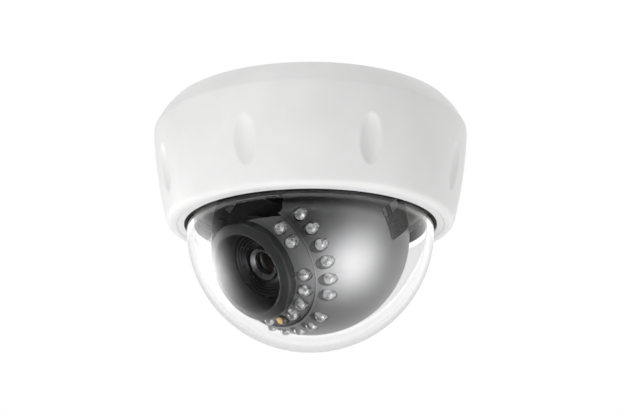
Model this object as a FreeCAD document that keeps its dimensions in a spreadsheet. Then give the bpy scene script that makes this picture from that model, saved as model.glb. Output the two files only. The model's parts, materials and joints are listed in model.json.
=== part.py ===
import FreeCAD, Part
import Sketcher
import os
import re

# A twist-off ceiling dome camera, in millimetres, hanging from its mounting face.
#
# Frame: the origin is the centre of the face that meets the ceiling, +Z points up, so the whole
# camera lies at negative Z. The viewer's side is -Y. Three frames are used:
#   world frame   base, cover, dome and turntable, all centred on the Z axis
#   yoke frame    origin at the eyeball's centre, turned about Z by PanAngle; +X is the lens's heading
#   lens frame    the yoke frame tipped by TiltAngle; +Z runs out of the lens, +X is the module's
#                 underside and +Y is the tilt axis

doc = FreeCAD.newDocument("DomeCamera")
dims = doc.addObject("Spreadsheet::Sheet", "Dims")

SIZES = {
    # the eyeball and the dome around it, which the rest is built to
    "EyeRadius": 40.6, "DomeGap": 7.7, "DomeWall": 2.5, "LipDepth": 49.7, "DomeDrop": 0.5,
    "EyeDrop": 3.2,
    # clearances
    "RunningGap": 0.05, "BodyGap": 0.3, "SlideGap": 0.3,
    # mounting base
    "PlateThickness": 3.0, "PlateLedge": 3.5, "CableHoleRadius": 11.0,
    "FixingCircleRadius": 44.45, "FixingHoleRadius": 2.25,
    "BaseWallThickness": 2.0, "BaseWallEnd": 2.0,
    "LugReach": 3.0, "LugDepth": 12.0, "LugThickness": 3.0, "LugSpan": 24.0, "LugStopSpan": 2.0,
    "LegInset": 8.0, "LegRadius": 3.4, "LegPilotDepth": 8.0,
    "SealInset": 4.0, "SealWidth": 2.0, "SealDepth": 1.2, "RimSealWidth": 1.7, "RimSealDepth": 0.8,
    "RimSealHeight": 1.8,
    # power board in the base
    "BoardThickness": 1.6, "BoardStandoff": 3.5, "PowerBoardBore": 15.0,
    "StandoffCircleRadius": 33.0, "StandoffRadius": 3.0, "PartHeight": 3.2, "PartClearance": 0.5,
    "ConnectorPlace": 17.0, "ConnectorDepth": 7.0, "ConnectorWall": 0.7, "PowerSocketWidth": 9.0,
    "VideoSocketWidth": 13.0, "PinPitch": 2.0, "PinSize": 0.5, "ChipPlace": 19.0, "ChipSize": 8.0,
    "ChipHeight": 1.6, "CapacitorPlace": 21.0, "CapacitorRadius": 2.5,
    # chassis ring and turntable
    "ChassisThickness": 2.4, "ChassisRadius": 39.0, "ArmOverlap": 3.0, "ArmMargin": 1.0,
    "HubRadius": 30.0, "HubWall": 4.0, "HubPilotDepth": 4.0, "TurntableInset": 1.8,
    "TurntableThickness": 2.0, "TurntableBore": 14.0, "RetainerThickness": 1.5,
    "RetainerReach": 3.0, "StopPegRadius": 1.0, "StopTabSpan": 6.0, "StopTabOverlap": 2.0,
    # cover
    "CoverGap": 0.5, "TopTaper": 6.3, "LipTaper": 6.7, "ShoulderDepth": 9.9, "ShoulderRound": 2.0,
    "CoverBelly": 1.2, "BellyRound": 160.0,
    "CoverWall": 2.4, "LipThickness": 2.6, "LipRound": 3.0, "LipFlat": 3.5, "RecessRise": 0.9,
    "DimpleCount": 8, "DimpleStart": 21.5, "DimpleDepth": 31.3, "DimpleHalfHeight": 12.0,
    "DimpleHalfWidth": 5.6, "DimpleHalfThick": 3.4, "DimpleSink": 1.6,
    "BossReach": 0.6, "BossRadius": 2.1, "BossWallGap": 0.1, "BossAngle": 45.0,
    "BossPilotDepth": 4.5, "HookExtra": 0.5, "HookWallGap": 0.7, "HookTurnGap": 0.4,
    # the dome's flange, gasket and clamp ring
    "FlangeReach": 2.6, "FlangeThickness": 2.5, "GasketThickness": 1.0, "GasketWall": 1.1,
    "GasketProud": 0.5, "ClampThickness": 2.0, "ClampWall": 4.5, "EarMargin": 0.3,
    "NotchMargin": 0.4,
    # aim of the camera at rest, and its travel
    "PanAngle": 222.8, "TiltAngle": 32.7, "TiltUpTravel": 22.5, "TiltDownTravel": 32.5,
    # eyeball shell
    "EyeWall": 1.8, "EyeRimHeight": 13.5, "SlotHalfWidth": 21.5, "SlotBottom": -1.8,
    "SlotTop": 6.2, "SlotCorner": 2.5, "WindowFront": -1.0, "WindowLength": 19.0,
    "WindowTop": -2.0, "WindowWidth": 13.0, "WindowCorner": 1.5, "EyeBossRadius": 2.2,
    "EyePilotDepth": 3.0,
    # yoke and its pivots
    "YokeSheet": 1.5, "YokeHalfWidth": 13.0, "YokeArmHalfWidth": 9.0, "YokeEyeRadius": 12.0,
    "YokeFanRadius": 20.5, "YokeCableRadius": 9.5, "YokeScrewX": 10.0, "YokeScrewY": 20.0,
    "LockCircleRadius": 17.2, "LockShankRadius": 1.5, "LockSlotHalf": 1.8, "FanMargin": 12.0,
    "FanOverlap": 4.0, "PivotRadius": 3.0, "PivotThread": 2.0, "PivotHeadRadius": 4.0,
    "PivotHeadHeight": 1.8, "PivotDrive": 0.8, "PivotTail": 0.5,
    # tilt lock thumbscrew
    "LockWasherRadius": 2.6, "LockWasherHeight": 0.8, "LockKnobRadius": 3.2,
    "LockKnobHeight": 2.2, "LockCapRadius": 1.9, "LockCapHeight": 0.8, "LockFluteRadius": 0.55,
    "LockTail": 0.8,
    # tilt frame
    "FrameSheet": 1.6, "FrameRingWidth": 4.75, "EarInset": 1.8, "FrameEarSheet": 1.5,
    "EarGap": 0.5, "TabReach": 1.6, "TabWidth": 5.0, "TabAngleLow": 39.5, "TabAngleHigh": 129.5,
    "EarNeckHalf": 4.5, "EarHalf": 8.0, "EarNeckRear": 10.0, "EarRear": -6.0,
    "EarLockLow": 14.0, "EarLockHigh": 4.0, "EarLockEnd": 0.5,
    # infrared LEDs and the light sensor
    "LedRadius": 2.5, "LedFlangeReach": 0.3, "LedFlangeHeight": 1.0, "LedLength": 8.6,
    "LedHoleGap": 0.15, "LedProud": 1.53, "LedMargin": 0.2, "LedWallGap": 0.9,
    "OuterBoardInset": 2.7, "OuterBoardGap": 0.4, "OuterBoardTop": -21.5, "OuterLedStep": 14.2,
    "OuterLedSideStep": 13.4, "OuterLedSideStart": 50.9, "InnerLedStep": 17.4,
    "SensorStep": 0.6, "SensorSlim": 0.2,
    # face cover and lens hood
    "FaceSet": 1.2, "FaceWall": 1.8, "FaceMargin": 0.8, "FaceSkirtWall": 0.7, "FaceFlat": -2.5,
    "FaceSkirtOverlap": 1.5, "FaceHoodGap": 0.1, "FaceEdge": 0.5, "HoodWall": 5.5,
    "HoodFlare": 0.8, "HoodMouth": 1.9, "HoodFootGap": 1.7, "HoodWaistRise": 0.62,
    "HoodRimRise": 3.5, "HoodMouthRise": 1.5, "HoodRound": 0.9,
    # module carrier
    "CarrierThickness": 2.4, "CarrierHubWall": 1.8, "RollRetainerReach": 1.6,
    "RollRetainerThickness": 1.7,
    # varifocal lens
    "BarrelRadius": 14.1, "LensSink": 3.4, "BarrelStep": 0.7, "BarrelStepRoom": 0.7,
    "BarrelTail": 2.0, "RidgeInset": 1.0, "RidgeLand": 1.3, "RidgeDrop": 0.35,
    "RidgeDepth": 0.6, "RidgeLip": 0.1, "GlassRadius": 4.9, "GlassSink": 1.5,
    "GlassThickness": 2.9, "GlassCurve": 12.0, "FrontRingWall": 2.1, "FrontRingSink": 0.9,
    "FrontRingThickness": 1.9, "FrontRingBevel": 0.6, "BoreStep": 0.9, "RearGlassRadius": 6.0,
    "RearGlassThickness": 3.2, "RearGlassSeat": 0.6, "RearSeat": 4.0, "CollarReach": 1.6,
    "CollarWidth": 1.4, "ControlRingWall": 2.6, "ControlRingWidth": 5.6, "RingRoom": 0.6,
    "RingGap": 0.4, "RingFluteRadius": 0.6, "LeverRadius": 1.2, "LeverKnobRadius": 2.0,
    "LeverKnobGap": 1.0, "LeverKnobLength": 4.0, "LeverSeat": 0.5,
    # image sensor unit
    "HolderHalfX": 16.0, "HolderHalfY": 17.0, "HolderStep": 1.5, "HolderLength": 9.0,
    "HolderCollarWall": 2.6, "HolderBore": 9.0, "CarriageHalfX": 7.2, "CarriageThickness": 1.6,
    "CarriageSink": 3.0, "CarriageRim": 1.2, "FilterTravel": 7.2, "FilterWidth": 6.0,
    "FilterHalfX": 4.0, "BoardHalf": 17.0, "PillarPlace": 14.0, "PillarRadius": 2.0,
    "PillarLength": 5.0, "SensorX": 12.0, "SensorY": 10.0, "SensorHeight": 1.5,
    "CoilLength": 4.5, "CoilHalfX": 6.0, "CoilSink": 1.5, "CoilHeight": 6.0,
    "CoilCoreRadius": 1.2, "HarnessPlace": -13.0, "HarnessWidth": 12.0, "HarnessDepth": 4.0,
    "HarnessHeight": 4.0, "UnitScrewGrip": 4.5, "ButtonCase": 6.0, "ButtonHeight": 3.4,
    "ButtonPlace": 8.0, "ButtonRadius": 1.6, "ButtonProud": 1.2, "ButtonTravel": 0.5,
    "ButtonFloor": 0.6,
    # screws: small for boards and trim, large for the chassis
    "SmallShank": 1.0, "SmallHead": 1.9, "SmallHeadHeight": 1.4, "LargeShank": 1.5,
    "LargeHead": 2.75, "LargeHeadHeight": 2.0, "ScrewTipGap": 0.5,
}

# sizes that follow from those above
FOLLOWS = {
    # outwards from the eyeball: dome, cover and base
    "DomeRadius": "EyeRadius + DomeGap + DomeWall",
    "DomeDepth": "LipDepth + DomeDrop",
    "EyeDepth": "DomeDepth + EyeDrop",
    "FlangeRadius": "DomeRadius + FlangeReach",
    "HoleRadius": "DomeRadius + GasketWall",
    "BossCircleRadius": "FlangeRadius + BossReach",
    "EarRadius": "BossRadius + EarMargin",
    "NotchRadius": "BossRadius + NotchMargin",
    "LipRadius": "BossCircleRadius + BossRadius + BossWallGap + CoverWall",
    "LipInnerRadius": "LipRadius - LipFlat",
    "CoverRadius": "LipRadius + LipTaper",
    "CoverTopRadius": "CoverRadius - TopTaper",
    "PlateRadius": "CoverTopRadius - CoverWall - BodyGap - RimSealWidth",
    "BaseWallRadius": "PlateRadius - PlateLedge",
    "BaseWallDepth": "LugDepth + LugThickness + BaseWallEnd",
    "SealGrooveRadius": "PlateRadius - SealInset",
    "LegCircleRadius": "BaseWallRadius - LegInset",
    "PowerBoardRadius": "StandoffCircleRadius + StandoffRadius",
    # downwards from the plate: power board, chassis ring and turntable
    "BoardDepth": "PlateThickness + BoardStandoff + BoardThickness",
    "ChassisDepth": "BoardDepth + PartHeight + PartClearance + SmallHeadHeight + RetainerThickness + BodyGap",
    "TurntableRadius": "ChassisRadius - TurntableInset",
    # outwards from the lens barrel: hood, inner LEDs, face, outer LEDs
    "LedFlange": "LedRadius + LedFlangeReach",
    "HoodBaseRadius": "BarrelRadius + HoodWall",
    "HoodRimRadius": "HoodBaseRadius + HoodFlare",
    "HoodMouthRadius": "BarrelRadius + HoodMouth",
    "InnerLedCircle": "HoodBaseRadius + LedFlange + LedMargin",
    "InnerBoardInner": "HoodBaseRadius - LedMargin",
    "FaceRadius": "InnerLedCircle + LedFlange + FaceMargin",
    "FaceInner": "FaceRadius - FaceSkirtWall",
    "EyeOpeningRadius": "FaceRadius + BodyGap",
    "OuterLedCircle": "EyeOpeningRadius + LedRadius + LedWallGap",
    "FrameRingRadius": "OuterLedCircle - LedFlange - BodyGap",
    "FrameBore": "FrameRingRadius - FrameRingWidth",
    "FrameEarInner": "FrameRingRadius - EarInset",
    "YokeInner": "FrameEarInner + FrameEarSheet + EarGap",
    # back from the eyeball's surface, along the lens
    "FaceSphere": "EyeRadius - FaceSet",
    "FrameRear": "sqrt(EyeRadius^2 - OuterLedCircle^2) + LedProud - LedLength",
    "FrameFront": "FrameRear + FrameSheet",
    "OuterBoardRadius": "sqrt((EyeRadius - EyeWall)^2 - FrameRear^2) - OuterBoardGap",
    "CarrierRear": "FrameFront + BodyGap",
    "CarrierFront": "CarrierRear + CarrierThickness",
    "InnerLedBase": "CarrierFront + BoardThickness",
    "HubRear": "FrameRear - BodyGap - RollRetainerThickness",
    "RollHubRadius": "FrameBore - RunningGap",
    "HoodWaist": "sqrt(FaceSphere^2 - HoodBaseRadius^2) + HoodWaistRise",
    "HoodRimHeight": "HoodWaist + HoodRimRise",
    "HoodMouthHeight": "HoodRimHeight + HoodMouthRise",
    "HoodFoot": "InnerLedBase + HoodFootGap",
    "BarrelFront": "HoodWaist - LensSink",
    "BarrelRearRadius": "BarrelRadius - BarrelStep",
    "ZoomRingBack": "HubRear - RingRoom - ControlRingWidth",
    "BarrelStepBack": "ZoomRingBack + ControlRingWidth + BarrelStepRoom",
    "CollarBack": "ZoomRingBack - RingGap - CollarWidth",
    "FocusRingBack": "CollarBack - RingGap - ControlRingWidth",
    "HolderCollar": "FocusRingBack - RingGap",
    "BarrelRear": "HolderCollar - BarrelTail",
    "HolderFront": "BarrelRear - HolderStep",
    "HolderRear": "HolderFront - HolderLength",
    "CarriageFront": "HolderFront - CarriageSink",
    "CarriageRear": "CarriageFront - CarriageThickness",
    "SensorBoardLow": "HolderRear - BoardThickness",
    "MainBoardHigh": "SensorBoardLow - PillarLength",
    "MainBoardLow": "MainBoardHigh - BoardThickness",
    "ButtonFace": "MainBoardLow - ButtonHeight",
    # lens front and its rings
    "GlassApex": "BarrelFront - GlassSink",
    "GlassLevel": "GlassApex - GlassThickness",
    "FrontRingHeight": "BarrelFront - FrontRingSink",
    "RingSeat": "FrontRingHeight - FrontRingThickness",
    "FrontRingRadius": "GlassRadius + FrontRingWall",
    "BarrelBore": "GlassRadius - BoreStep",
    "RidgeStart": "BarrelRadius - RidgeInset",
    "RidgeStep": "(RidgeStart - FrontRingRadius - RidgeLand) / 4",
    "CollarRadius": "BarrelRearRadius + CollarReach",
    "ControlRingRadius": "BarrelRearRadius + ControlRingWall",
    "HolderCollarRadius": "BarrelRearRadius + HolderCollarWall",
}
for row, (alias, value) in enumerate(SIZES.items(), start=1):
    dims.set(f"A{row}", alias)
    dims.set(f"B{row}", str(value))
    dims.setAlias(f"B{row}", alias)
doc.recompute()

# how far a cutting tool runs past what it cuts
REACH = 60


def bound(formula):
    """The formula with each size's name pointed at its cell, and what follows from them spelled out."""

    def spelled(match):
        name = match.group(1)
        return f"({bound(FOLLOWS[name])})" if name in FOLLOWS else f"Dims.{name}"

    return re.sub(r"\b([A-Z]\w+)\b", spelled, str(formula))


def value_of(formula):
    """The number that a formula of sizes gives now."""
    result = dims.evalExpression(bound(formula))
    return float(getattr(result, "Value", result))


def bind(obj, **formulas):
    for prop, formula in formulas.items():
        obj.setExpression(prop, bound(formula))
    return obj


TURN = {
    "Z": FreeCAD.Rotation(),
    "X": FreeCAD.Rotation(FreeCAD.Vector(0, 1, 0), 90),
    "Y": FreeCAD.Rotation(FreeCAD.Vector(1, 0, 0), -90),
}


def place(obj, at, axis="Z"):
    """Puts a primitive at a point given as three formulas, with its own Z along the axis."""
    obj.Placement = FreeCAD.Placement(FreeCAD.Vector(), TURN[axis])
    for letter, formula in zip("xyz", at):
        obj.setExpression(f"Placement.Base.{letter}", bound(formula))
    return obj


def around(circle, angle, level):
    """A point on a circle about Z, as three formulas."""
    return (f"({circle}) * cos({angle})", f"({circle}) * sin({angle})", level)


# ---------------------------------------------------------------- solids that the pieces are made of


def cylinder(radius, height, at=(0, 0, 0), axis="Z"):
    obj = doc.addObject("Part::Cylinder", "Cylinder")
    bind(obj, Radius=radius, Height=height)
    return place(obj, at, axis)


def box(low, high):
    """A box between two corners, each given as three formulas."""
    obj = doc.addObject("Part::Box", "Box")
    spans = [f"({far}) - ({near})" for near, far in zip(low, high)]
    bind(obj, Length=spans[0], Width=spans[1], Height=spans[2])
    return place(obj, low)


def ball(radius, level=0):
    obj = doc.addObject("Part::Sphere", "Ball")
    bind(obj, Radius=radius)
    return place(obj, (0, 0, level))


def fuse(*shapes):
    obj = doc.addObject("Part::MultiFuse", "Joined")
    obj.Shapes = list(shapes)
    return obj


def cut(base, *tools):
    obj = doc.addObject("Part::Cut", "Trimmed")
    obj.Base = base
    obj.Tool = tools[0] if len(tools) == 1 else fuse(*tools)
    return obj


def common(base, tool):
    obj = doc.addObject("Part::Common", "Shared")
    obj.Base = base
    obj.Tool = tool
    return obj


def group(shapes):
    obj = doc.addObject("Part::Compound", "Group")
    obj.Links = list(shapes)
    return obj


def ring(inner, outer, low, high):
    """A flat ring about Z between two levels."""
    length = f"({high}) - ({low})"
    margin = f"({length}) + 2"
    return cut(cylinder(outer, length, (0, 0, low)), cylinder(inner, margin, (0, 0, f"({low}) - 1")))


def sector(inner, outer, low, high, start, span):
    """A piece of a ring that starts at an angle about Z and spans some degrees."""
    pie = cylinder(outer, f"({high}) - ({low})", (0, 0, low))
    bind(pie, Angle=span)
    core = cylinder(inner, f"({high}) - ({low}) + 2", (0, 0, f"({low}) - 1"))
    piece = cut(pie, core)
    piece.setExpression("Placement.Rotation.Angle", bound(start))
    return piece


def spun(obj, angle):
    """A finished solid turned about Z."""
    holder = group([obj])
    holder.setExpression("Placement.Rotation.Angle", bound(angle))
    return holder


def upright(obj):
    """A solid drawn in the yoke frame, brought into the lens frame."""
    holder = group([obj])
    holder.Placement = FreeCAD.Placement(
        FreeCAD.Vector(), FreeCAD.Rotation(FreeCAD.Vector(0, -1, 0), 90))
    holder.setExpression("Placement.Rotation.Angle", bound("90 + TiltAngle"))
    return holder


def both_sides(maker):
    """Two solids, one on each side of the tilt axis's middle: the maker gets +1 and -1."""
    return [maker(1), maker(-1)]


def plane_of(body, role):
    return next(item for item in body.Origin.OriginFeatures if item.Role == role)


def outlined(body, plane, points):
    """A closed sketch whose corners are each tied to the sheet by two formulas."""
    sketch = body.newObject("Sketcher::SketchObject", "Outline")
    sketch.AttachmentSupport = [(plane_of(body, plane), "")]
    sketch.MapMode = "FlatFace"
    # a first shape with the right corners keeps the solver on the wanted side of each axis
    start = [FreeCAD.Vector(value_of(a), value_of(b), 0) for a, b in points]
    for near, far in zip(start, start[1:] + start[:1]):
        sketch.addGeometry(Part.LineSegment(near, far))
    count = len(points)
    for index in range(count):
        sketch.addConstraint(Sketcher.Constraint("Coincident", index, 2, (index + 1) % count, 1))
    for index, corner in enumerate(points):
        for kind, formula, axis in (("DistanceX", corner[0], -2), ("DistanceY", corner[1], -1)):
            value = value_of(formula)
            if value == 0:
                sketch.addConstraint(Sketcher.Constraint("PointOnObject", index, 1, axis))
                continue
            number = sketch.addConstraint(Sketcher.Constraint(kind, -1, 1, index, 1, value))
            sketch.setExpression(f"Constraints[{number}]", bound(formula))
    return sketch


def turned(points):
    """A body turned about Z from a closed outline of (radius, height) corners."""
    body = doc.addObject("PartDesign::Body", "Turned")
    sketch = outlined(body, "XZ_Plane", points)
    turn = body.newObject("PartDesign::Revolution", "Revolution")
    turn.Profile = sketch
    turn.ReferenceAxis = (sketch, ["V_Axis"])
    turn.Angle = 360
    sketch.Visibility = False
    return body


def sheet_piece(points, plane, thickness):
    """A body padded from a closed outline on one of its origin planes."""
    body = doc.addObject("PartDesign::Body", "Sheet")
    sketch = outlined(body, plane, points)
    pad = body.newObject("PartDesign::Pad", "Pad")
    pad.Profile = sketch
    bind(pad, Length=thickness)
    return body


def rounded(body, radius, rims):
    """Rounds the circular edges of a turned body, each found by its radius and height."""
    doc.recompute()
    wanted = [(value_of(r), value_of(level)) for r, level in rims]
    names = []
    for number, edge in enumerate(body.Shape.Edges, start=1):
        if not isinstance(edge.Curve, Part.Circle):
            continue
        spot = (edge.Curve.Radius, edge.Curve.Center.z)
        if any(abs(spot[0] - r) < 1e-4 and abs(spot[1] - level) < 1e-4 for r, level in wanted):
            names.append(f"Edge{number}")
    last = body.Tip
    fillet = body.newObject("PartDesign::Fillet", "Fillet")
    fillet.Base = (last, names)
    bind(fillet, Radius=radius)
    return body


def soft_box(low, high, axis, corner):
    """A box whose four edges along an axis are rounded."""
    flat = [index for index in range(3) if "XYZ"[index] != axis]
    run = "XYZ".index(axis)
    slabs = []
    for index in flat:
        near, far = list(low), list(high)
        near[index] = f"({low[index]}) + ({corner})"
        far[index] = f"({high[index]}) - ({corner})"
        slabs.append(box(near, far))
    posts = []
    for first in (f"({low[flat[0]]}) + ({corner})", f"({high[flat[0]]}) - ({corner})"):
        for second in (f"({low[flat[1]]}) + ({corner})", f"({high[flat[1]]}) - ({corner})"):
            at = [0, 0, 0]
            at[flat[0]], at[flat[1]], at[run] = first, second, low[run]
            posts.append(cylinder(corner, f"({high[run]}) - ({low[run]})", at, axis))
    return fuse(*slabs, *posts)


def screw(x, y, seat, way, length, kind="Small"):
    """A pan-head screw along Z: its head sits on the seat and its shank runs up (1) or down (-1)."""
    head_low = f"({seat}) - {kind}HeadHeight" if way > 0 else seat
    shank_low = seat if way > 0 else f"({seat}) - ({length})"
    head = cylinder(f"{kind}Head", f"{kind}HeadHeight", (x, y, head_low))
    shank = cylinder(f"{kind}Shank", length, (x, y, shank_low))
    socket = doc.addObject("Part::Prism", "Socket")
    bind(socket, Circumradius=f"{kind}Head / 2", Height=f"{kind}HeadHeight")
    drop = "-0.4" if way > 0 else "0.4"
    place(socket, (x, y, f"({head_low}) + ({drop}) * {kind}HeadHeight"))
    return cut(fuse(head, shank), socket)


# ---------------------------------------------------------------- the pieces, and where they go

PIECES = []


def world_frame():
    return FreeCAD.Placement()


def yoke_frame():
    turn = FreeCAD.Rotation(FreeCAD.Vector(0, 0, 1), value_of("PanAngle"))
    return FreeCAD.Placement(FreeCAD.Vector(0, 0, -value_of("EyeDepth")), turn)


def lens_frame():
    tip = FreeCAD.Rotation(FreeCAD.Vector(0, 1, 0), value_of("90 + TiltAngle"))
    return yoke_frame() * FreeCAD.Placement(FreeCAD.Vector(), tip)


def piece(label, obj, frame=None):
    """Names a finished sub-part and carries it from its own frame into the camera's."""
    if frame is not None:
        obj = group([obj])
        obj.Placement = frame
    obj.Label = label
    PIECES.append(obj)


YOKE = yoke_frame()
LENS = lens_frame()
QUARTERS = [f"45 + 90 * {step}" for step in range(4)]
THIRDS = [f"120 * {step}" for step in range(3)]
CORNERS = [(1, 1), (1, -1), (-1, 1), (-1, -1)]


# ---------------------------------------------------------------- mounting base

STANDOFF_LOW = "-(PlateThickness + BoardStandoff)"
BOARD_LOW = "-BoardDepth"
LUG_LOW = "-(LugDepth + LugThickness)"
HOOK_THICKNESS = "LugThickness + HookExtra"
HOOK_LOW = "-(LugDepth - BodyGap)"
HOOK_HIGH = f"{HOOK_LOW} + ({HOOK_THICKNESS})"


def base_plate():
    plate = turned([
        ("CableHoleRadius", 0), ("PlateRadius", 0), ("PlateRadius", "-PlateThickness"),
        ("BaseWallRadius", "-PlateThickness"), ("BaseWallRadius", "-BaseWallDepth"),
        ("BaseWallRadius - BaseWallThickness", "-BaseWallDepth"),
        ("BaseWallRadius - BaseWallThickness", "-PlateThickness"),
        ("CableHoleRadius", "-PlateThickness"),
    ])
    inner, outer = "BaseWallRadius - BaseWallThickness / 2", "BaseWallRadius + LugReach"
    adds = [plate]
    for turn in THIRDS:
        adds.append(sector(inner, outer, LUG_LOW, "-LugDepth", f"{turn} - LugStopSpan",
                           "LugSpan + LugStopSpan"))
        adds.append(sector(inner, outer, "-LugDepth", HOOK_HIGH, f"{turn} - LugStopSpan", "LugStopSpan"))
        adds.append(cylinder("StandoffRadius", "BoardStandoff",
                             around("StandoffCircleRadius", f"{turn} + 30", STANDOFF_LOW)))
    for turn in QUARTERS:
        adds.append(cylinder("LegRadius", "ChassisDepth - PlateThickness",
                             around("LegCircleRadius", turn, "-ChassisDepth")))
    cuts = [ring("SealGrooveRadius", "SealGrooveRadius + SealWidth", "-SealDepth", 1)]
    for step in range(4):
        cuts.append(cylinder("FixingHoleRadius", "PlateThickness + 2",
                             around("FixingCircleRadius", f"90 * {step}", "-PlateThickness - 1")))
    for turn in QUARTERS:
        cuts.append(cylinder("LargeShank", "LegPilotDepth", around("LegCircleRadius", turn, "-ChassisDepth")))
    for turn in THIRDS:
        cuts.append(cylinder("SmallShank", "BoardStandoff",
                             around("StandoffCircleRadius", f"{turn} + 30", STANDOFF_LOW)))
    return cut(fuse(*adds), *cuts)


def power_board():
    board = ring("PowerBoardBore", "PowerBoardRadius", BOARD_LOW, STANDOFF_LOW)
    holes = [cylinder("SmallShank", "BoardThickness",
                      around("StandoffCircleRadius", f"{turn} + 30", BOARD_LOW)) for turn in THIRDS]
    return cut(board, *holes)


def board_screws():
    return group([screw(*around("StandoffCircleRadius", f"{turn} + 30", BOARD_LOW), 1,
                        "BoardThickness + BoardStandoff - ScrewTipGap") for turn in THIRDS])


def socket_strip(width, turn, pins):
    """A wafer connector under the power board, open towards the rim, with its row of pins."""
    low = f"{BOARD_LOW} - PartHeight"
    near, far = "ConnectorPlace", "ConnectorPlace + ConnectorDepth"
    body = box((near, f"-{width} / 2", low), (far, f"{width} / 2", BOARD_LOW))
    hollow = box((f"{near} + ConnectorWall", f"-{width} / 2 + ConnectorWall", f"{low} + ConnectorWall"),
                 (f"{far} + 1", f"{width} / 2 - ConnectorWall", f"{BOARD_LOW} - ConnectorWall"))
    posts = []
    for pin in range(pins):
        across = f"({pin} - ({pins} - 1) / 2) * PinPitch"
        level = f"{low} + (PartHeight - PinSize) / 2"
        posts.append(box((f"{near} + ConnectorWall / 2", f"{across} - PinSize / 2", level),
                         (f"{far} - ConnectorWall", f"{across} + PinSize / 2", f"{level} + PinSize")))
    return spun(fuse(cut(body, hollow), *posts), turn)


def base_components():
    """Chips, coils and capacitors on the power board's lower face."""
    low = f"{BOARD_LOW} - PartHeight"
    parts = []
    for turn in ("60", "138", "285"):
        chip = box(("ChipPlace", "-ChipSize / 2", f"{BOARD_LOW} - ChipHeight"),
                   ("ChipPlace + ChipSize", "ChipSize / 2", BOARD_LOW))
        parts.append(spun(chip, turn))
    for turn in ("88", "106", "212", "230", "325"):
        parts.append(cylinder("CapacitorRadius", "PartHeight", around("CapacitorPlace", turn, low)))
    return group(parts)


def chassis_ring():
    low, high = "-(ChassisDepth + ChassisThickness)", "-ChassisDepth"
    adds = [ring("HubRadius + RunningGap", "ChassisRadius", low, high)]
    for turn in QUARTERS:
        arm = box(("ChassisRadius - ArmOverlap", "-LegRadius - ArmMargin", low),
                  ("LegCircleRadius + LegRadius", "LegRadius + ArmMargin", high))
        adds.append(spun(arm, turn))
    peg = around("ChassisRadius", "PanAngle + 180", f"{low} - TurntableThickness - BodyGap / 2")
    adds.append(cylinder("StopPegRadius", "TurntableThickness + BodyGap + ChassisThickness / 2", peg))
    holes = [cylinder("LargeShank", "ChassisThickness", around("LegCircleRadius", turn, low))
             for turn in QUARTERS]
    return cut(fuse(*adds), *holes)


def chassis_screws():
    return group([screw(*around("LegCircleRadius", turn, "-(ChassisDepth + ChassisThickness)"), 1,
                        "ChassisThickness + LegPilotDepth - ScrewTipGap", "Large") for turn in QUARTERS])


piece("base_plate", base_plate())
piece("ceiling_seal", ring("SealGrooveRadius", "SealGrooveRadius + SealWidth", "-SealDepth", 0))
piece("rim_seal", ring("PlateRadius", "PlateRadius + RimSealWidth",
                       "-(RimSealDepth + RimSealHeight)", "-RimSealDepth"))
piece("power_board", power_board())
piece("board_screws", board_screws())
piece("power_socket", socket_strip("PowerSocketWidth", "0", 3))
piece("video_socket", socket_strip("VideoSocketWidth", "180", 5))
piece("base_components", base_components())
piece("chassis_ring", chassis_ring())
piece("chassis_screws", chassis_screws())


# ---------------------------------------------------------------- twist-off cover with its dome

SEAT_LOW = "-(LipDepth - RecessRise)"
SEAT_HIGH = f"{SEAT_LOW} + LipThickness"
FLANGE_LOW = f"{SEAT_HIGH} + GasketThickness"
FLANGE_HIGH = f"{FLANGE_LOW} + FlangeThickness"
CLAMP_HIGH = f"{FLANGE_HIGH} + ClampThickness"
BOSS_TURNS = [f"BossAngle + 90 * {step}" for step in range(4)]


def cover_shell():
    belly, middle = "(CoverRadius + LipRadius) / 2 + CoverBelly", "-(ShoulderDepth + LipDepth) / 2"
    shell = turned([
        ("CoverTopRadius", "-CoverGap"), ("CoverRadius", "-ShoulderDepth"), (belly, middle),
        ("LipRadius", "-LipDepth"), ("LipInnerRadius", "-LipDepth"), ("HoleRadius", SEAT_LOW),
        ("HoleRadius", SEAT_HIGH), ("LipRadius - CoverWall", SEAT_HIGH),
        (f"{belly} - CoverWall", middle), ("CoverRadius - CoverWall", "-ShoulderDepth"),
        ("CoverTopRadius - CoverWall", "-CoverGap"),
    ])
    rounded(shell, "LipRound", [("LipRadius", "-LipDepth")])
    rounded(shell, "ShoulderRound", [("CoverRadius", "-ShoulderDepth")])
    rounded(shell, "BellyRound", [(belly, middle)])
    adds = [shell]
    for turn in THIRDS:
        adds.append(sector("BaseWallRadius + HookWallGap", "CoverRadius - 0.9 * CoverWall", HOOK_LOW,
                           HOOK_HIGH, f"{turn} + HookTurnGap", "LugSpan - HookTurnGap"))
    for turn in BOSS_TURNS:
        adds.append(cylinder("BossRadius", f"({FLANGE_HIGH}) - ({SEAT_HIGH}) + 1",
                             around("BossCircleRadius", turn, f"{SEAT_HIGH} - 1")))
    holes = [cylinder("SmallShank", "BossPilotDepth",
                      around("BossCircleRadius", turn, f"{FLANGE_HIGH} - BossPilotDepth"))
             for turn in BOSS_TURNS]
    return cut(fuse(*adds), *holes, *dimples())


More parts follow.
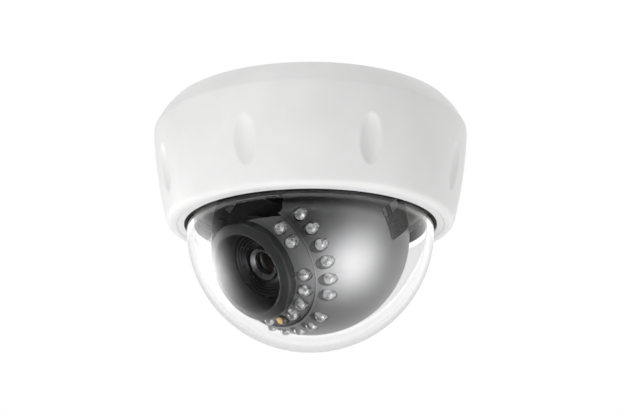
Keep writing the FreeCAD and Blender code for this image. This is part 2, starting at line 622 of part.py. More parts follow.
def dimples():
    """Upright oval scoops for the fingertips that twist the cover."""
    slope = "(CoverRadius - LipRadius) / (LipDepth - ShoulderDepth)"
    wall = f"CoverRadius + CoverBelly - (DimpleDepth - ShoulderDepth) * {slope}"
    scoops = []
    for step in range(int(value_of("DimpleCount"))):
        scoop = doc.addObject("Part::Ellipsoid", "Scoop")
        bind(scoop, Radius1="DimpleHalfHeight", Radius2="DimpleHalfThick", Radius3="DimpleHalfWidth")
        scoop.Angle1, scoop.Angle2 = -90, 90
        scoop.Placement = FreeCAD.Placement(
            FreeCAD.Vector(), FreeCAD.Rotation(FreeCAD.Vector(0, 1, 0), 90))
        scoop.setExpression("Placement.Rotation.Angle", bound(f"atan({slope})"))
        scoop.setExpression("Placement.Base.x", bound(f"{wall} + DimpleHalfThick - DimpleSink"))
        scoop.setExpression("Placement.Base.z", bound("-DimpleDepth"))
        scoops.append(spun(scoop, f"DimpleStart + 360 / DimpleCount * {step}"))
    return scoops


def flange_notches(low, high):
    """Clearance for the cover's screw bosses."""
    return [cylinder("NotchRadius", f"({high}) - ({low}) + 2",
                     around("BossCircleRadius", turn, f"({low}) - 1")) for turn in BOSS_TURNS]


def dome_window():
    middle = "-DomeDepth"
    neck = f"({FLANGE_HIGH}) - ({middle})"
    outer = fuse(ball("DomeRadius", middle), cylinder("DomeRadius", neck, (0, 0, middle)))
    below = cylinder("DomeRadius + 1", f"DomeRadius + {neck}", (0, 0, f"{middle} - DomeRadius"))
    flange = cylinder("FlangeRadius", "FlangeThickness", (0, 0, FLANGE_LOW))
    flange = cut(flange, *flange_notches(FLANGE_LOW, FLANGE_HIGH))
    inner = fuse(ball("DomeRadius - DomeWall", middle),
                 cylinder("DomeRadius - DomeWall", "DomeRadius", (0, 0, middle)))
    return cut(fuse(common(outer, below), flange), inner)


def dome_gasket():
    foot = "-LipDepth + GasketProud / 2"
    lip = turned([
        ("DomeRadius", FLANGE_LOW), ("FlangeRadius", FLANGE_LOW), ("FlangeRadius", SEAT_HIGH),
        ("HoleRadius", SEAT_HIGH), ("HoleRadius", foot), ("DomeRadius", foot),
    ])
    return cut(lip, *flange_notches(SEAT_HIGH, FLANGE_LOW))


def dome_clamp_ring():
    adds = [ring("FlangeRadius - ClampWall", "FlangeRadius", FLANGE_HIGH, CLAMP_HIGH)]
    holes = []
    for turn in BOSS_TURNS:
        adds.append(cylinder("EarRadius", "ClampThickness", around("BossCircleRadius", turn, FLANGE_HIGH)))
        holes.append(cylinder("SmallShank", "ClampThickness",
                              around("BossCircleRadius", turn, FLANGE_HIGH)))
    return cut(fuse(*adds), *holes)


piece("cover_shell", cover_shell())
piece("dome_window", dome_window())
piece("dome_gasket", dome_gasket())
piece("dome_clamp_ring", dome_clamp_ring())
piece("clamp_screws", group([screw(*around("BossCircleRadius", turn, CLAMP_HIGH), -1,
                                   "ClampThickness + BossPilotDepth - ScrewTipGap") for turn in BOSS_TURNS]))


# ---------------------------------------------------------------- turntable and yoke

TABLE_HIGH = "-(ChassisDepth + ChassisThickness + BodyGap)"
TABLE_LOW = f"{TABLE_HIGH} - TurntableThickness"
HUB_HIGH = "-(ChassisDepth - BodyGap)"
SCREW_CIRCLE = "HubRadius - HubWall / 2"


def turntable():
    adds = [
        ring("TurntableBore", "TurntableRadius", TABLE_LOW, TABLE_HIGH),
        ring("HubRadius - HubWall", "HubRadius", TABLE_LOW, HUB_HIGH),
        sector("TurntableRadius - StopTabOverlap", "ChassisRadius", TABLE_LOW, TABLE_HIGH,
               "PanAngle - StopTabSpan / 2", "StopTabSpan"),
    ]
    cuts = [cylinder("SmallShank", "HubPilotDepth",
                     around(SCREW_CIRCLE, turn, f"{HUB_HIGH} - HubPilotDepth")) for turn in THIRDS]
    seats = [cylinder("SmallShank", "TurntableThickness", (f"{x} * YokeScrewX", f"{y} * YokeScrewY",
                                                           TABLE_LOW)) for x, y in CORNERS]
    return cut(fuse(*adds), *cuts, spun(group(seats), "PanAngle"))


def pan_retainer():
    low, high = HUB_HIGH, f"{HUB_HIGH} + RetainerThickness"
    holes = [cylinder("SmallShank", "RetainerThickness", around(SCREW_CIRCLE, turn, low))
             for turn in THIRDS]
    return cut(ring("HubRadius - HubWall", "HubRadius + RetainerReach", low, high), *holes)


YOKE_HIGH = f"{TABLE_LOW} + EyeDepth"
YOKE_LOW = f"{YOKE_HIGH} - YokeSheet"
YOKE_OUTER = "YokeInner + YokeSheet"


def lock_point(level):
    """Where the tilt lock sits behind the pivot, in the yoke frame."""
    return ("-LockCircleRadius", level, 0)


def yoke_arm(side):
    """One arm: a strip down to the pivot, a round eye and a fan that carries the lock's arc slot."""
    near = "YokeInner" if side > 0 else f"-({YOKE_OUTER})"
    strip = box(("-YokeArmHalfWidth", near, 0), ("YokeArmHalfWidth", f"{near} + YokeSheet", YOKE_HIGH))
    eye = cylinder("YokeEyeRadius", "YokeSheet", (0, near, 0), "Y")
    fan = sector_across("YokeEyeRadius - FanOverlap", "YokeFanRadius", near, "YokeSheet",
                        "180 - TiltDownTravel - FanMargin", "TiltUpTravel + TiltDownTravel + 2 * FanMargin")
    slot = sector_across("LockCircleRadius - LockSlotHalf", "LockCircleRadius + LockSlotHalf",
                         f"{near} - 1", "YokeSheet + 2", "180 - TiltDownTravel - 1",
                         "TiltUpTravel + TiltDownTravel + 2")
    ends = [cylinder("LockSlotHalf", "YokeSheet + 2",
                     (f"LockCircleRadius * cos({turn})", f"{near} - 1", f"LockCircleRadius * sin({turn})"),
                     "Y") for turn in ("180 - TiltDownTravel - 1", "180 + TiltUpTravel + 1")]
    bore = cylinder("PivotRadius + RunningGap", "YokeSheet + 2", (0, f"{near} - 1", 0), "Y")
    return cut(fuse(strip, eye, fan), slot, *ends, bore)


def sector_across(inner, outer, near, thickness, start, span):
    """A ring sector about the tilt axis; angles run from the lens's heading up and over."""
    piece_flat = sector(inner, outer, 0, thickness, f"-({start}) - ({span})", span)
    holder = group([piece_flat])
    holder.Placement = FreeCAD.Placement(FreeCAD.Vector(), TURN["Y"])
    holder.setExpression("Placement.Base.y", bound(near))
    return holder


def yoke():
    top = box(("-YokeHalfWidth", f"-({YOKE_OUTER})", YOKE_LOW), ("YokeHalfWidth", YOKE_OUTER, YOKE_HIGH))
    cable = cylinder("YokeCableRadius", "YokeSheet + 2", (0, 0, f"{YOKE_LOW} - 1"))
    holes = [cylinder("SmallShank", "YokeSheet", (f"{x} * YokeScrewX", f"{y} * YokeScrewY", YOKE_LOW))
             for x, y in CORNERS]
    return cut(fuse(top, *both_sides(yoke_arm)), cable, *holes)


piece("turntable", turntable())
piece("pan_retainer", pan_retainer())
piece("retainer_screws", group([screw(*around(SCREW_CIRCLE, turn, f"{HUB_HIGH} + RetainerThickness"), -1,
                                      "RetainerThickness + HubPilotDepth - ScrewTipGap") for turn in THIRDS]))
piece("yoke", yoke(), YOKE)
piece("yoke_screws", group([screw(f"{x} * YokeScrewX", f"{y} * YokeScrewY", YOKE_LOW, 1,
                                  "YokeSheet + TurntableThickness - ScrewTipGap") for x, y in CORNERS]), YOKE)


# ---------------------------------------------------------------- eyeball: everything that tilts

TAB_TURNS = [f"{sign}{turn}" for turn in ("TabAngleLow", "TabAngleHigh") for sign in ("", "-")]


def outer_led_turns():
    """Angles from the module's underside: five LEDs below, then six up each side."""
    turns = ["0"] + [f"{sign} * {step} * OuterLedStep" for step in (1, 2) for sign in (1, -1)]
    for step in range(6):
        turns += [f"{sign} * (OuterLedSideStart + {step} * OuterLedSideStep)" for sign in (1, -1)]
    return turns


def inner_led_turns():
    """Two fives with the light sensor between them, a gap at each side, then two pairs."""
    return [f"{sign} * {step} * InnerLedStep" for step in (1, 2, 3, 4, 6, 7) for sign in (1, -1)]


def led(circle, turn, base):
    stem = "LedLength - LedRadius"
    at = around(circle, turn, base)
    tip = ball("LedRadius")
    place(tip, around(circle, turn, f"{base} + {stem}"))
    return fuse(cylinder("LedFlange", "LedFlangeHeight", at), cylinder("LedRadius", stem, at), tip)


def led_holes(circle, turns, base):
    """Holes for the LEDs, each with a wider start for the flange."""
    holes = [cylinder("LedRadius + LedHoleGap", REACH, around(circle, turn, base)) for turn in turns]
    holes += [cylinder("LedFlange + LedHoleGap", "2 * LedFlangeHeight + LedHoleGap",
                       around(circle, turn, f"{base} - LedFlangeHeight")) for turn in turns]
    return holes


def side_window(side):
    """The opening in the eyeball's flank beside the tilt lock."""
    near, far = ("EyeRadius * 0.7", REACH) if side > 0 else (-REACH, "-EyeRadius * 0.7")
    return soft_box(("WindowTop", near, "WindowFront - WindowLength"),
                    ("WindowTop + WindowWidth", far, "WindowFront"), "Y", "WindowCorner")


def eyeball_shell():
    rim = upright(box((-REACH, -REACH, "EyeRimHeight"), (REACH, REACH, REACH)))
    slot = upright(soft_box(("EyeRadius / 2", "-SlotHalfWidth", "SlotBottom"),
                            (REACH, "SlotHalfWidth", "SlotTop"), "X", "SlotCorner"))
    opening = cylinder("EyeOpeningRadius", REACH, (0, 0, "EyeRadius / 2"))
    shell = cut(ball("EyeRadius"), ball("EyeRadius - EyeWall"))
    bosses = [cylinder("EyeBossRadius", "EyeRadius", around("OuterLedCircle", turn, "FrameFront"))
              for turn in TAB_TURNS]
    bosses = common(group(bosses), ball("EyeRadius - EyeWall / 2"))
    pilots = [cylinder("SmallShank", "EyePilotDepth", around("OuterLedCircle", turn, "FrameFront"))
              for turn in TAB_TURNS]
    return cut(fuse(shell, bosses), rim, slot, opening, *both_sides(side_window), *pilots,
               *led_holes("OuterLedCircle", outer_led_turns(), "FrameRear"))


def frame_ear(side):
    """A bent ear that runs back from the frame's ring to the pivot and the tilt lock."""
    rear = "-LockCircleRadius - EarLockEnd"
    outline = [
        ("-EarNeckHalf", "FrameFront"), ("-EarHalf", "EarNeckRear"), ("-EarHalf", "EarRear"),
        ("EarLockHigh", rear), ("EarLockLow", rear), ("EarLockLow", "EarRear"),
        ("EarHalf", "EarNeckRear"), ("EarNeckHalf", "FrameFront"),
    ]
    plate = sheet_piece(outline, "XZ_Plane", "FrameEarSheet")
    outer = "FrameEarInner + FrameEarSheet" if side > 0 else "-FrameEarInner"
    plate.setExpression("Placement.Base.y", bound(outer))
    return plate


def tilt_frame():
    adds = [ring("FrameBore", "FrameRingRadius", "FrameRear", "FrameFront")]
    adds += both_sides(frame_ear)
    for turn in TAB_TURNS:
        tab = box(("FrameRingRadius - 1", "-TabWidth / 2", "FrameRear"),
                  ("OuterLedCircle + TabReach", "TabWidth / 2", "FrameFront"))
        adds.append(spun(tab, turn))
    cuts = [cylinder("SmallShank", "FrameSheet", around("OuterLedCircle", turn, "FrameRear"))
            for turn in TAB_TURNS]
    cuts.append(cylinder("PivotThread", 2 * REACH, (0, -REACH, 0), "Y"))
    lock = cylinder("LockShankRadius + RunningGap", 2 * REACH, lock_point(-REACH), "Y")
    return cut(fuse(*adds), *cuts, upright(lock))


def outer_led_board():
    low = "FrameRear - BoardThickness"
    board = ring("OuterLedCircle - OuterBoardInset", "OuterBoardRadius", low, "FrameRear")
    top = box((-REACH, -REACH, f"{low} - 1"), ("OuterBoardTop", REACH, "FrameRear + 1"))
    holes = [cylinder("SmallShank", "BoardThickness", around("OuterLedCircle", turn, low))
             for turn in TAB_TURNS]
    return cut(board, top, *holes)


def shell_screws():
    seat = "FrameRear - BoardThickness"
    run = "BoardThickness + FrameSheet + EyePilotDepth - ScrewTipGap"
    return group([screw(*around("OuterLedCircle", turn, seat), 1, run) for turn in TAB_TURNS])


def pivot_screw(side):
    """A shoulder screw: thread in the ear, shoulder in the yoke's bore, head outside it."""
    ear = "FrameEarInner"
    shoulder = "FrameEarInner + FrameEarSheet"
    head = f"{YOKE_OUTER} + BodyGap"
    solid = fuse(
        cylinder("PivotThread", f"{head} - {ear} + PivotTail", (0, ear, 0), "Y"),
        cylinder("PivotRadius", f"{head} - ({shoulder})", (0, shoulder, 0), "Y"),
        cylinder("PivotHeadRadius", "PivotHeadHeight", (0, head, 0), "Y"))
    drive = box(("-PivotHeadRadius * 0.75", f"{head} + PivotHeadHeight / 2", "-PivotDrive / 2"),
                ("PivotHeadRadius * 0.75", f"{head} + PivotHeadHeight + 1", "PivotDrive / 2"))
    solid = cut(solid, drive)
    return solid if side > 0 else spun(solid, "180")


def lock_screw(side):
    """A fluted thumbscrew whose shank runs through the arc slot into the frame's ear."""
    washer = f"{YOKE_OUTER} + BodyGap"
    knob = f"{washer} + LockWasherHeight"
    x = "-LockCircleRadius" if side > 0 else "LockCircleRadius"
    flutes = []
    for step in range(8):
        across, up = f"{x} + LockKnobRadius * cos({45 * step})", f"LockKnobRadius * sin({45 * step})"
        flutes.append(cylinder("LockFluteRadius", "LockKnobHeight", (across, knob, up), "Y"))
    head = cut(cylinder("LockKnobRadius", "LockKnobHeight", (x, knob, 0), "Y"), *flutes)
    cap = cylinder("LockCapRadius", "LockKnobHeight + LockCapHeight", (x, knob, 0), "Y")
    solid = fuse(head, cap, cylinder("LockWasherRadius", "LockWasherHeight", (x, washer, 0), "Y"),
                 cylinder("LockShankRadius", f"{washer} - FrameEarInner + LockTail",
                          (x, "FrameEarInner - LockTail", 0), "Y"))
    return solid if side > 0 else spun(solid, "180")


piece("eyeball_shell", eyeball_shell(), LENS)
piece("tilt_frame", tilt_frame(), LENS)
piece("outer_led_board", outer_led_board(), LENS)
piece("outer_leds", group([led("OuterLedCircle", turn, "FrameRear") for turn in outer_led_turns()
                           ]), LENS)
piece("shell_screws", shell_screws(), LENS)
piece("pivot_screws", group(both_sides(pivot_screw)), YOKE)
piece("tilt_lock_right", lock_screw(1), YOKE)
piece("tilt_lock_left", lock_screw(-1), YOKE)


# ---------------------------------------------------------------- lens module: everything that rolls



def module_carrier():
    return turned([
        ("BarrelRadius", "CarrierRear"), ("RollHubRadius - CarrierHubWall", "CarrierRear"),
        ("RollHubRadius - CarrierHubWall", "HubRear"), ("RollHubRadius", "HubRear"),
        ("RollHubRadius", "CarrierRear"), ("FaceInner", "CarrierRear"),
        ("FaceInner", "CarrierFront"), ("BarrelRadius", "CarrierFront"),
    ])


def flat_top():
    """The level cut across the top of the face that leaves the access slot open."""
    return upright(box((0, -REACH, "FaceFlat"), (REACH, REACH, REACH)))


def face_cover():
    zone = cut(ball("FaceSphere"), ball("FaceSphere - FaceWall"))
    zone = common(zone, ring("HoodBaseRadius + FaceHoodGap", "FaceRadius", "FaceSphere / 2", REACH))
    skirt = ring("FaceInner", "FaceRadius", "CarrierFront - FaceSkirtOverlap",
                 "sqrt(FaceSphere^2 - FaceRadius^2) - FaceEdge")
    turns = inner_led_turns() + ["0"]
    return cut(fuse(zone, skirt), flat_top(), *led_holes("InnerLedCircle", turns, "InnerLedBase"))


def inner_led_board():
    board = ring("InnerBoardInner", "FaceInner - LedMargin / 2", "CarrierFront", "InnerLedBase")
    return cut(board, flat_top())


def light_sensor():
    at = around("InnerLedCircle", "0", "InnerLedBase")
    height = "LedLength - LedRadius"
    window = ball("LedRadius")
    place(window, around("InnerLedCircle", "0", f"InnerLedBase + {height} - SensorStep"))
    slim = "LedRadius - SensorSlim"
    return fuse(cylinder("LedFlange", "LedFlangeHeight", at), cylinder(slim, height, at),
                common(window, cylinder(slim, "LedLength", at)))


def lens_hood():
    mouth, rim = ("HoodMouthRadius", "HoodMouthHeight"), ("HoodRimRadius", "HoodRimHeight")
    hood = turned([
        ("BarrelRadius", "HoodFoot"), ("BarrelRadius", "BarrelFront"), mouth, rim,
        ("HoodBaseRadius", "HoodWaist"), ("HoodBaseRadius", "HoodFoot"),
    ])
    return rounded(hood, "HoodRound", [mouth, rim])


def lens_barrel():
    outline = [
        ("BarrelBore", "BarrelRear + RearSeat"), ("BarrelBore", "GlassLevel"),
        ("GlassRadius", "GlassLevel"), ("GlassRadius", "RingSeat"), ("FrontRingRadius", "RingSeat"),
        ("FrontRingRadius", "BarrelFront - 4 * RidgeDrop - RidgeDepth"),
    ]
    for step in (3, 2, 1, 0):
        crest, valley = f"RidgeStart - {step} * RidgeStep", f"BarrelFront - {step} * RidgeDrop"
        outline += [(f"{crest} - RidgeStep * 0.7", f"{valley} - RidgeDepth"),
                    (f"{crest} - RidgeStep * 0.35", valley), (crest, f"{valley} - RidgeLip")]
    outline += [
        ("BarrelRadius", "BarrelFront"), ("BarrelRadius", "BarrelStepBack"),
        ("BarrelRearRadius", "BarrelStepBack"), ("BarrelRearRadius", "CollarBack + CollarWidth"),
        ("CollarRadius", "CollarBack + CollarWidth"), ("CollarRadius", "CollarBack"),
        ("BarrelRearRadius", "CollarBack"), ("BarrelRearRadius", "BarrelRear"),
        ("RearGlassRadius", "BarrelRear"), ("RearGlassRadius", "BarrelRear + RearSeat"),
    ]
    return turned(outline)


def front_ring():
    return turned([
        ("GlassRadius", "RingSeat"), ("FrontRingRadius", "RingSeat"),
        ("FrontRingRadius", "FrontRingHeight - FrontRingBevel"),
        ("FrontRingRadius - FrontRingBevel", "FrontRingHeight"),
        ("GlassRadius + FrontRingBevel", "FrontRingHeight"),
        ("GlassRadius", "FrontRingHeight - 1.5 * FrontRingBevel"),
    ])


def glass(radius, seat, apex, curve):
    """A lens element: flat at its seat and domed to its apex."""
    blank = cylinder(radius, f"({apex}) - ({seat}) + 1", (0, 0, seat))
    return common(blank, ball(curve, f"({apex}) - ({curve})"))


def control_ring(back):
    """A fluted ring that turns on the barrel, with a hole for its lock lever."""
    low, high = back, f"{back} + ControlRingWidth"
    flutes = [cylinder("RingFluteRadius", "ControlRingWidth + 2",
                       around("ControlRingRadius", 15 * step, f"{low} - 1")) for step in range(1, 24)]
    hole = cylinder("LeverRadius", "ControlRingRadius", (0, 0, f"{low} + ControlRingWidth / 2"), "X")
    return cut(ring("BarrelRearRadius + RunningGap", "ControlRingRadius", low, high), *flutes, hole)


def lock_lever(back):
    middle = f"{back} + ControlRingWidth / 2"
    start, knob = "BarrelRearRadius + LeverSeat", "ControlRingRadius + LeverKnobGap"
    return fuse(cylinder("LeverRadius", f"{knob} + LeverKnobLength - ({start})", (start, 0, middle), "X"),
                cylinder("LeverKnobRadius", "LeverKnobLength", (knob, 0, middle), "X"))


piece("module_carrier", module_carrier(), LENS)
piece("roll_retainer", ring("RollHubRadius", "RollHubRadius + RollRetainerReach", "HubRear",
                            "HubRear + RollRetainerThickness"), LENS)
piece("face_cover", face_cover(), LENS)
piece("inner_led_board", inner_led_board(), LENS)
piece("inner_leds", group([led("InnerLedCircle", turn, "InnerLedBase") for turn in inner_led_turns()]),
      LENS)
piece("light_sensor", light_sensor(), LENS)
piece("lens_hood", lens_hood(), LENS)
piece("lens_barrel", lens_barrel(), LENS)
piece("front_ring", front_ring(), LENS)
piece("front_glass", glass("GlassRadius", "GlassLevel", "GlassApex", "GlassCurve"), LENS)
piece("rear_glass", glass("RearGlassRadius", "BarrelRear + RearGlassSeat",
                          "BarrelRear + RearGlassSeat + RearGlassThickness", "GlassCurve * 2"), LENS)
piece("zoom_ring", control_ring("ZoomRingBack"), LENS)
piece("zoom_lever", lock_lever("ZoomRingBack"), LENS)
piece("focus_ring", control_ring("FocusRingBack"), LENS)
piece("focus_lever", lock_lever("FocusRingBack"), LENS)


# ---------------------------------------------------------------- image sensor unit behind the lens

POSTS = [(f"{x} * PillarPlace", f"{y} * PillarPlace") for x, y in CORNERS]


def sensor_holder():
    block = box(("-HolderHalfX", "-HolderHalfY", "HolderRear"), ("HolderHalfX", "HolderHalfY", "HolderFront"))
    collar = ring("BarrelRearRadius", "HolderCollarRadius", "HolderFront", "HolderCollar")
    socket = cylinder("BarrelRearRadius", REACH, (0, 0, "BarrelRear"))
    bore = cylinder("HolderBore", REACH, (0, 0, "HolderRear"))
    track = box(("-CarriageHalfX - SlideGap", "-HolderHalfY - 1", "CarriageRear - SlideGap"),
                ("CarriageHalfX + SlideGap", "HolderHalfY + 1", "CarriageFront + SlideGap"))
    pilots = [cylinder("SmallShank", "UnitScrewGrip + ScrewTipGap", (x, y, "HolderRear"))
              for x, y in POSTS]
    return cut(fuse(block, collar), socket, bore, track, *pilots)


def filter_window(middle):
    return (("-FilterHalfX", f"{middle} - FilterWidth / 2", "CarriageRear"),
            ("FilterHalfX", f"{middle} + FilterWidth / 2", "CarriageFront"))


def filter_carriage():
    plate = box(("-CarriageHalfX", "-FilterTravel - FilterWidth / 2 - CarriageRim", "CarriageRear"),
                ("CarriageHalfX", "FilterWidth / 2 + CarriageRim", "CarriageFront"))
    return cut(plate, box(*filter_window("0")), box(*filter_window("-FilterTravel")))


def filter_coil():
    """The little solenoid that throws the filter carriage, on the holder's flank."""
    high = "HolderFront - CoilSink"
    case = box(("-CoilHalfX", "HolderHalfY", f"{high} - CoilHeight"),
               ("CoilHalfX", "HolderHalfY + CoilLength", high))
    core = cylinder("CoilCoreRadius", "CoilLength",
                    (0, "HolderHalfY + CoilCoreRadius / 3", f"{high} - CoilHeight / 2"), "Y")
    return fuse(case, core)


def bored_board(low):
    board = box(("-BoardHalf", "-BoardHalf", low), ("BoardHalf", "BoardHalf", f"{low} + BoardThickness"))
    return cut(board, *[cylinder("SmallShank", "BoardThickness", (x, y, low)) for x, y in POSTS])


def pillars():
    return group([cut(cylinder("PillarRadius", "PillarLength", (x, y, "MainBoardHigh")),
                      cylinder("SmallShank", "PillarLength", (x, y, "MainBoardHigh"))) for x, y in POSTS])


def unit_screws():
    run = "BoardThickness * 2 + PillarLength + UnitScrewGrip"
    return group([screw(x, y, "MainBoardLow", 1, run) for x, y in POSTS])


def main_chips():
    spots = [("-6", "-7", "4.5", "1.2"), ("0", "9", "3.5", "1.2"), ("-9", "3", "2.5", "1.6"),
             ("6", "-9", "2.5", "2.0")]
    return group([box((f"{x} - {half}", f"{y} - {half}", f"MainBoardLow - {tall}"),
                      (f"{x} + {half}", f"{y} + {half}", "MainBoardLow")) for x, y, half, tall in spots])


def harness_socket():
    low, high = "MainBoardHigh", "MainBoardHigh + HarnessHeight"
    near, far, half = "HarnessPlace", "HarnessPlace + HarnessDepth", "HarnessWidth / 2"
    body = box((near, f"-{half}", low), (far, half, high))
    hollow = box((f"{near} + ConnectorWall", f"-{half} + ConnectorWall", f"{low} + 2 * ConnectorWall"),
                 (f"{far} - ConnectorWall", f"{half} - ConnectorWall", f"{high} + 1"))
    return cut(body, hollow)


def button_case():
    half = "ButtonCase / 2"
    case = box((f"ButtonPlace - {half}", f"-{half}", "ButtonFace"), (f"ButtonPlace + {half}", half,
                                                                   "MainBoardLow"))
    return cut(case, cylinder("ButtonRadius + RunningGap", "ButtonHeight - ButtonFloor",
                              ("ButtonPlace", 0, "ButtonFace")))


def button_plunger():
    floor_gap = "ButtonTravel + RunningGap * 4"
    return cylinder("ButtonRadius", f"ButtonProud + ButtonHeight - ButtonFloor - ({floor_gap})",
                    ("ButtonPlace", 0, "ButtonFace - ButtonProud"))


piece("sensor_holder", sensor_holder(), LENS)
piece("filter_carriage", filter_carriage(), LENS)
piece("infrared_filter", box(*filter_window("0")), LENS)
piece("clear_filter", box(*filter_window("-FilterTravel")), LENS)
piece("filter_coil", filter_coil(), LENS)
piece("sensor_board", bored_board("SensorBoardLow"), LENS)
piece("image_sensor", box(("-SensorX / 2", "-SensorY / 2", "HolderRear"),
                          ("SensorX / 2", "SensorY / 2", "HolderRear + SensorHeight")), LENS)
piece("board_pillars", pillars(), LENS)
piece("main_board", bored_board("MainBoardLow"), LENS)
piece("unit_screws", unit_screws(), LENS)
piece("main_chips", main_chips(), LENS)
piece("harness_socket", harness_socket(), LENS)
piece("button_case", button_case(), LENS)
piece("button_plunger", button_plunger(), LENS)


# ---------------------------------------------------------------- check everything, then write it out


def report_faults():
    faults = [f"{obj.Name}: {obj.State}" for obj in doc.Objects
              if "Invalid" in obj.State or "Error" in obj.State]
    for obj in PIECES:
        if obj.Shape.isNull() or not obj.Shape.isValid() or not obj.Shape.Solids:
            faults.append(f"{obj.Label}: bad shape")
    return faults


doc.recompute()
faults = report_faults()
if faults:
    raise SystemExit("\n".join(faults))
os.makedirs("parts", exist_ok=True)
for obj in PIECES:
    obj.Shape.exportStep(f"parts/{obj.Label}.step")
    print(f"{obj.Label:18s} {len(obj.Shape.Solids):3d} solids {obj.Shape.Volume:10.1f} mm3")
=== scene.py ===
# %% [markdown]
# # A ceiling dome camera, finished piece by piece
# The camera hangs from a ceiling: a white twist-off cover, a clear half-sphere under it, and inside
# a dark eyeball that carries the lens and two arcs of infrared LEDs. The solid model is already
# made, so this lesson only gives each piece its surface, its small detail and its light.

# %% load the frame
import json
import math
import bmesh
import bpy
import numpy as np
from mathutils import Matrix, Vector


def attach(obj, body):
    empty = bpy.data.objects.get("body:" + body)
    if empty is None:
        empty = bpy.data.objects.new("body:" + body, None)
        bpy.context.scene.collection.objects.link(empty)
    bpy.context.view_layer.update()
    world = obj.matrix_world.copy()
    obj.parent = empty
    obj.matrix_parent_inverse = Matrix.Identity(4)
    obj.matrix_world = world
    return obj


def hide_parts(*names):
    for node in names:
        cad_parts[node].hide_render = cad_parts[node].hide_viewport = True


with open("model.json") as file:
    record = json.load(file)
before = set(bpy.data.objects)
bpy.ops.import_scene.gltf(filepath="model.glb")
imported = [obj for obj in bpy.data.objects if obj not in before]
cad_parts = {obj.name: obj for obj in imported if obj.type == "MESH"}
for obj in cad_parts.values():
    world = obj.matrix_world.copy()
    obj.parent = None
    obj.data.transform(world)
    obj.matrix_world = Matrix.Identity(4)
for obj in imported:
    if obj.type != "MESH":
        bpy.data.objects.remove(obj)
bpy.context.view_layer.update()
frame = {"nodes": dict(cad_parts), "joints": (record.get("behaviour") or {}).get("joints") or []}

MM = 0.001

# %% [markdown]
# ## The three frames
# Cover, dome and base are turned about the world's Z axis. The lens pieces are turned about the
# lens's own axis, so they are easiest to draw upright and then carried into place by one matrix.
# The matrix comes from the joints: the eyeball's centre, the tilt axis and the roll axis.

# %% the lens's frame, from the joints
joints = {joint["name"]: joint for joint in frame["joints"]}
eye_centre = Vector(joints["tilt_turn"]["pos_m"])
tilt_axis = Vector(joints["tilt_turn"]["axis"]).normalized()
lens_axis = Vector(joints["roll_turn"]["axis"]).normalized()
down_axis = tilt_axis.cross(lens_axis)
lens_turn = Matrix((down_axis, tilt_axis, lens_axis)).transposed().to_4x4()
LENS = Matrix.Translation(eye_centre) @ lens_turn
print("the lens points along", [round(part, 3) for part in lens_axis])

# %% [markdown]
# ## Camera
# The camera looks up at the dome from a little below it, with a long lens, so that the sides hardly
# converge. Its place is worked out from a direction, a distance and the point that it aims at.

# %% camera
VIEW_BELOW = math.radians(17.0)
VIEW_DISTANCE = 0.62
AIM_LEVEL = -0.0408
FOCAL_LENGTH, SENSOR_WIDTH = 86.9, 36
camera_data = bpy.data.cameras.new("camera")
camera_data.lens = FOCAL_LENGTH
camera_data.sensor_width = SENSOR_WIDTH
camera = bpy.data.objects.new("camera", camera_data)
bpy.context.scene.collection.objects.link(camera)
towards = Vector((0, math.cos(VIEW_BELOW), math.sin(VIEW_BELOW)))
camera.location = Vector((0, 0, AIM_LEVEL)) - towards * VIEW_DISTANCE
camera.rotation_euler = towards.to_track_quat("-Z", "Y").to_euler()
bpy.context.scene.camera = camera
print("camera at", [round(part, 3) for part in camera.location])

# %% [markdown]
# ## Studio
# A white room lights the piece evenly from all sides. What the eye sees behind the piece, also
# through the clear dome, is plain white. Gloss needs more: a shiny dark ball shows its shape only
# if the room around it has light and dark places. So for reflections the room is pale at the back,
# fainter below and to the right, dark on the side of the viewer, and has two soft glowing patches,
# like two large round soft boxes with blurred edges. They give the broad highlight on the eyeball
# and the pale veil down the left of the dome. For scattered light inside the dome the room is
# brighter. That stands in for the lamps, whose light does not come through the dome.

# %% helpers for node trees
scene = bpy.context.scene
scene.view_settings.view_transform = "Standard"
print("view transform:", scene.view_settings.view_transform)


def add_node(tree, kind, **settings):
    """A node of that kind in the tree, with its own settings."""
    made = tree.nodes.new(kind)
    for name, value in settings.items():
        setattr(made, name, value)
    return made


def maths(tree, operation, *inputs):
    """A Math node's result; each input is a number or another node's socket."""
    made = add_node(tree, "ShaderNodeMath", operation=operation)
    for slot, value in zip(made.inputs, inputs):
        if isinstance(value, (int, float)):
            slot.default_value = value
        else:
            tree.links.new(value, slot)
    return made.outputs[0]


# %% the room's levels, and helpers for its node tree
ROOM_LEVEL = 0.58  # scattered light outside the dome
INSIDE_LEVEL = 3.2  # scattered light that has come through the dome
FRONT_LEVEL = 0.03  # what gloss sees where nothing glows
world = bpy.data.worlds.new("white room")
scene.world = world
world.use_nodes = True
room = world.node_tree
room.nodes.clear()
rays = add_node(room, "ShaderNodeLightPath")
way_node = add_node(room, "ShaderNodeTexCoord")
apart = add_node(room, "ShaderNodeSeparateXYZ")
room.links.new(way_node.outputs["Generated"], apart.inputs[0])
print("world:", world.name)


def times(first, second):
    return maths(room, "MULTIPLY", first, second)


def plus(first, second):
    return maths(room, "ADD", first, second)


def opposite(source):
    """1 where the source is 0, and 0 where it is 1."""
    return maths(room, "SUBTRACT", 1.0, source)


def has_been(kind):
    """1 for a ray that has been scattered, mirrored or let through at least once."""
    return maths(room, "GREATER_THAN", rays.outputs[f"{kind} Depth"], 0.5)


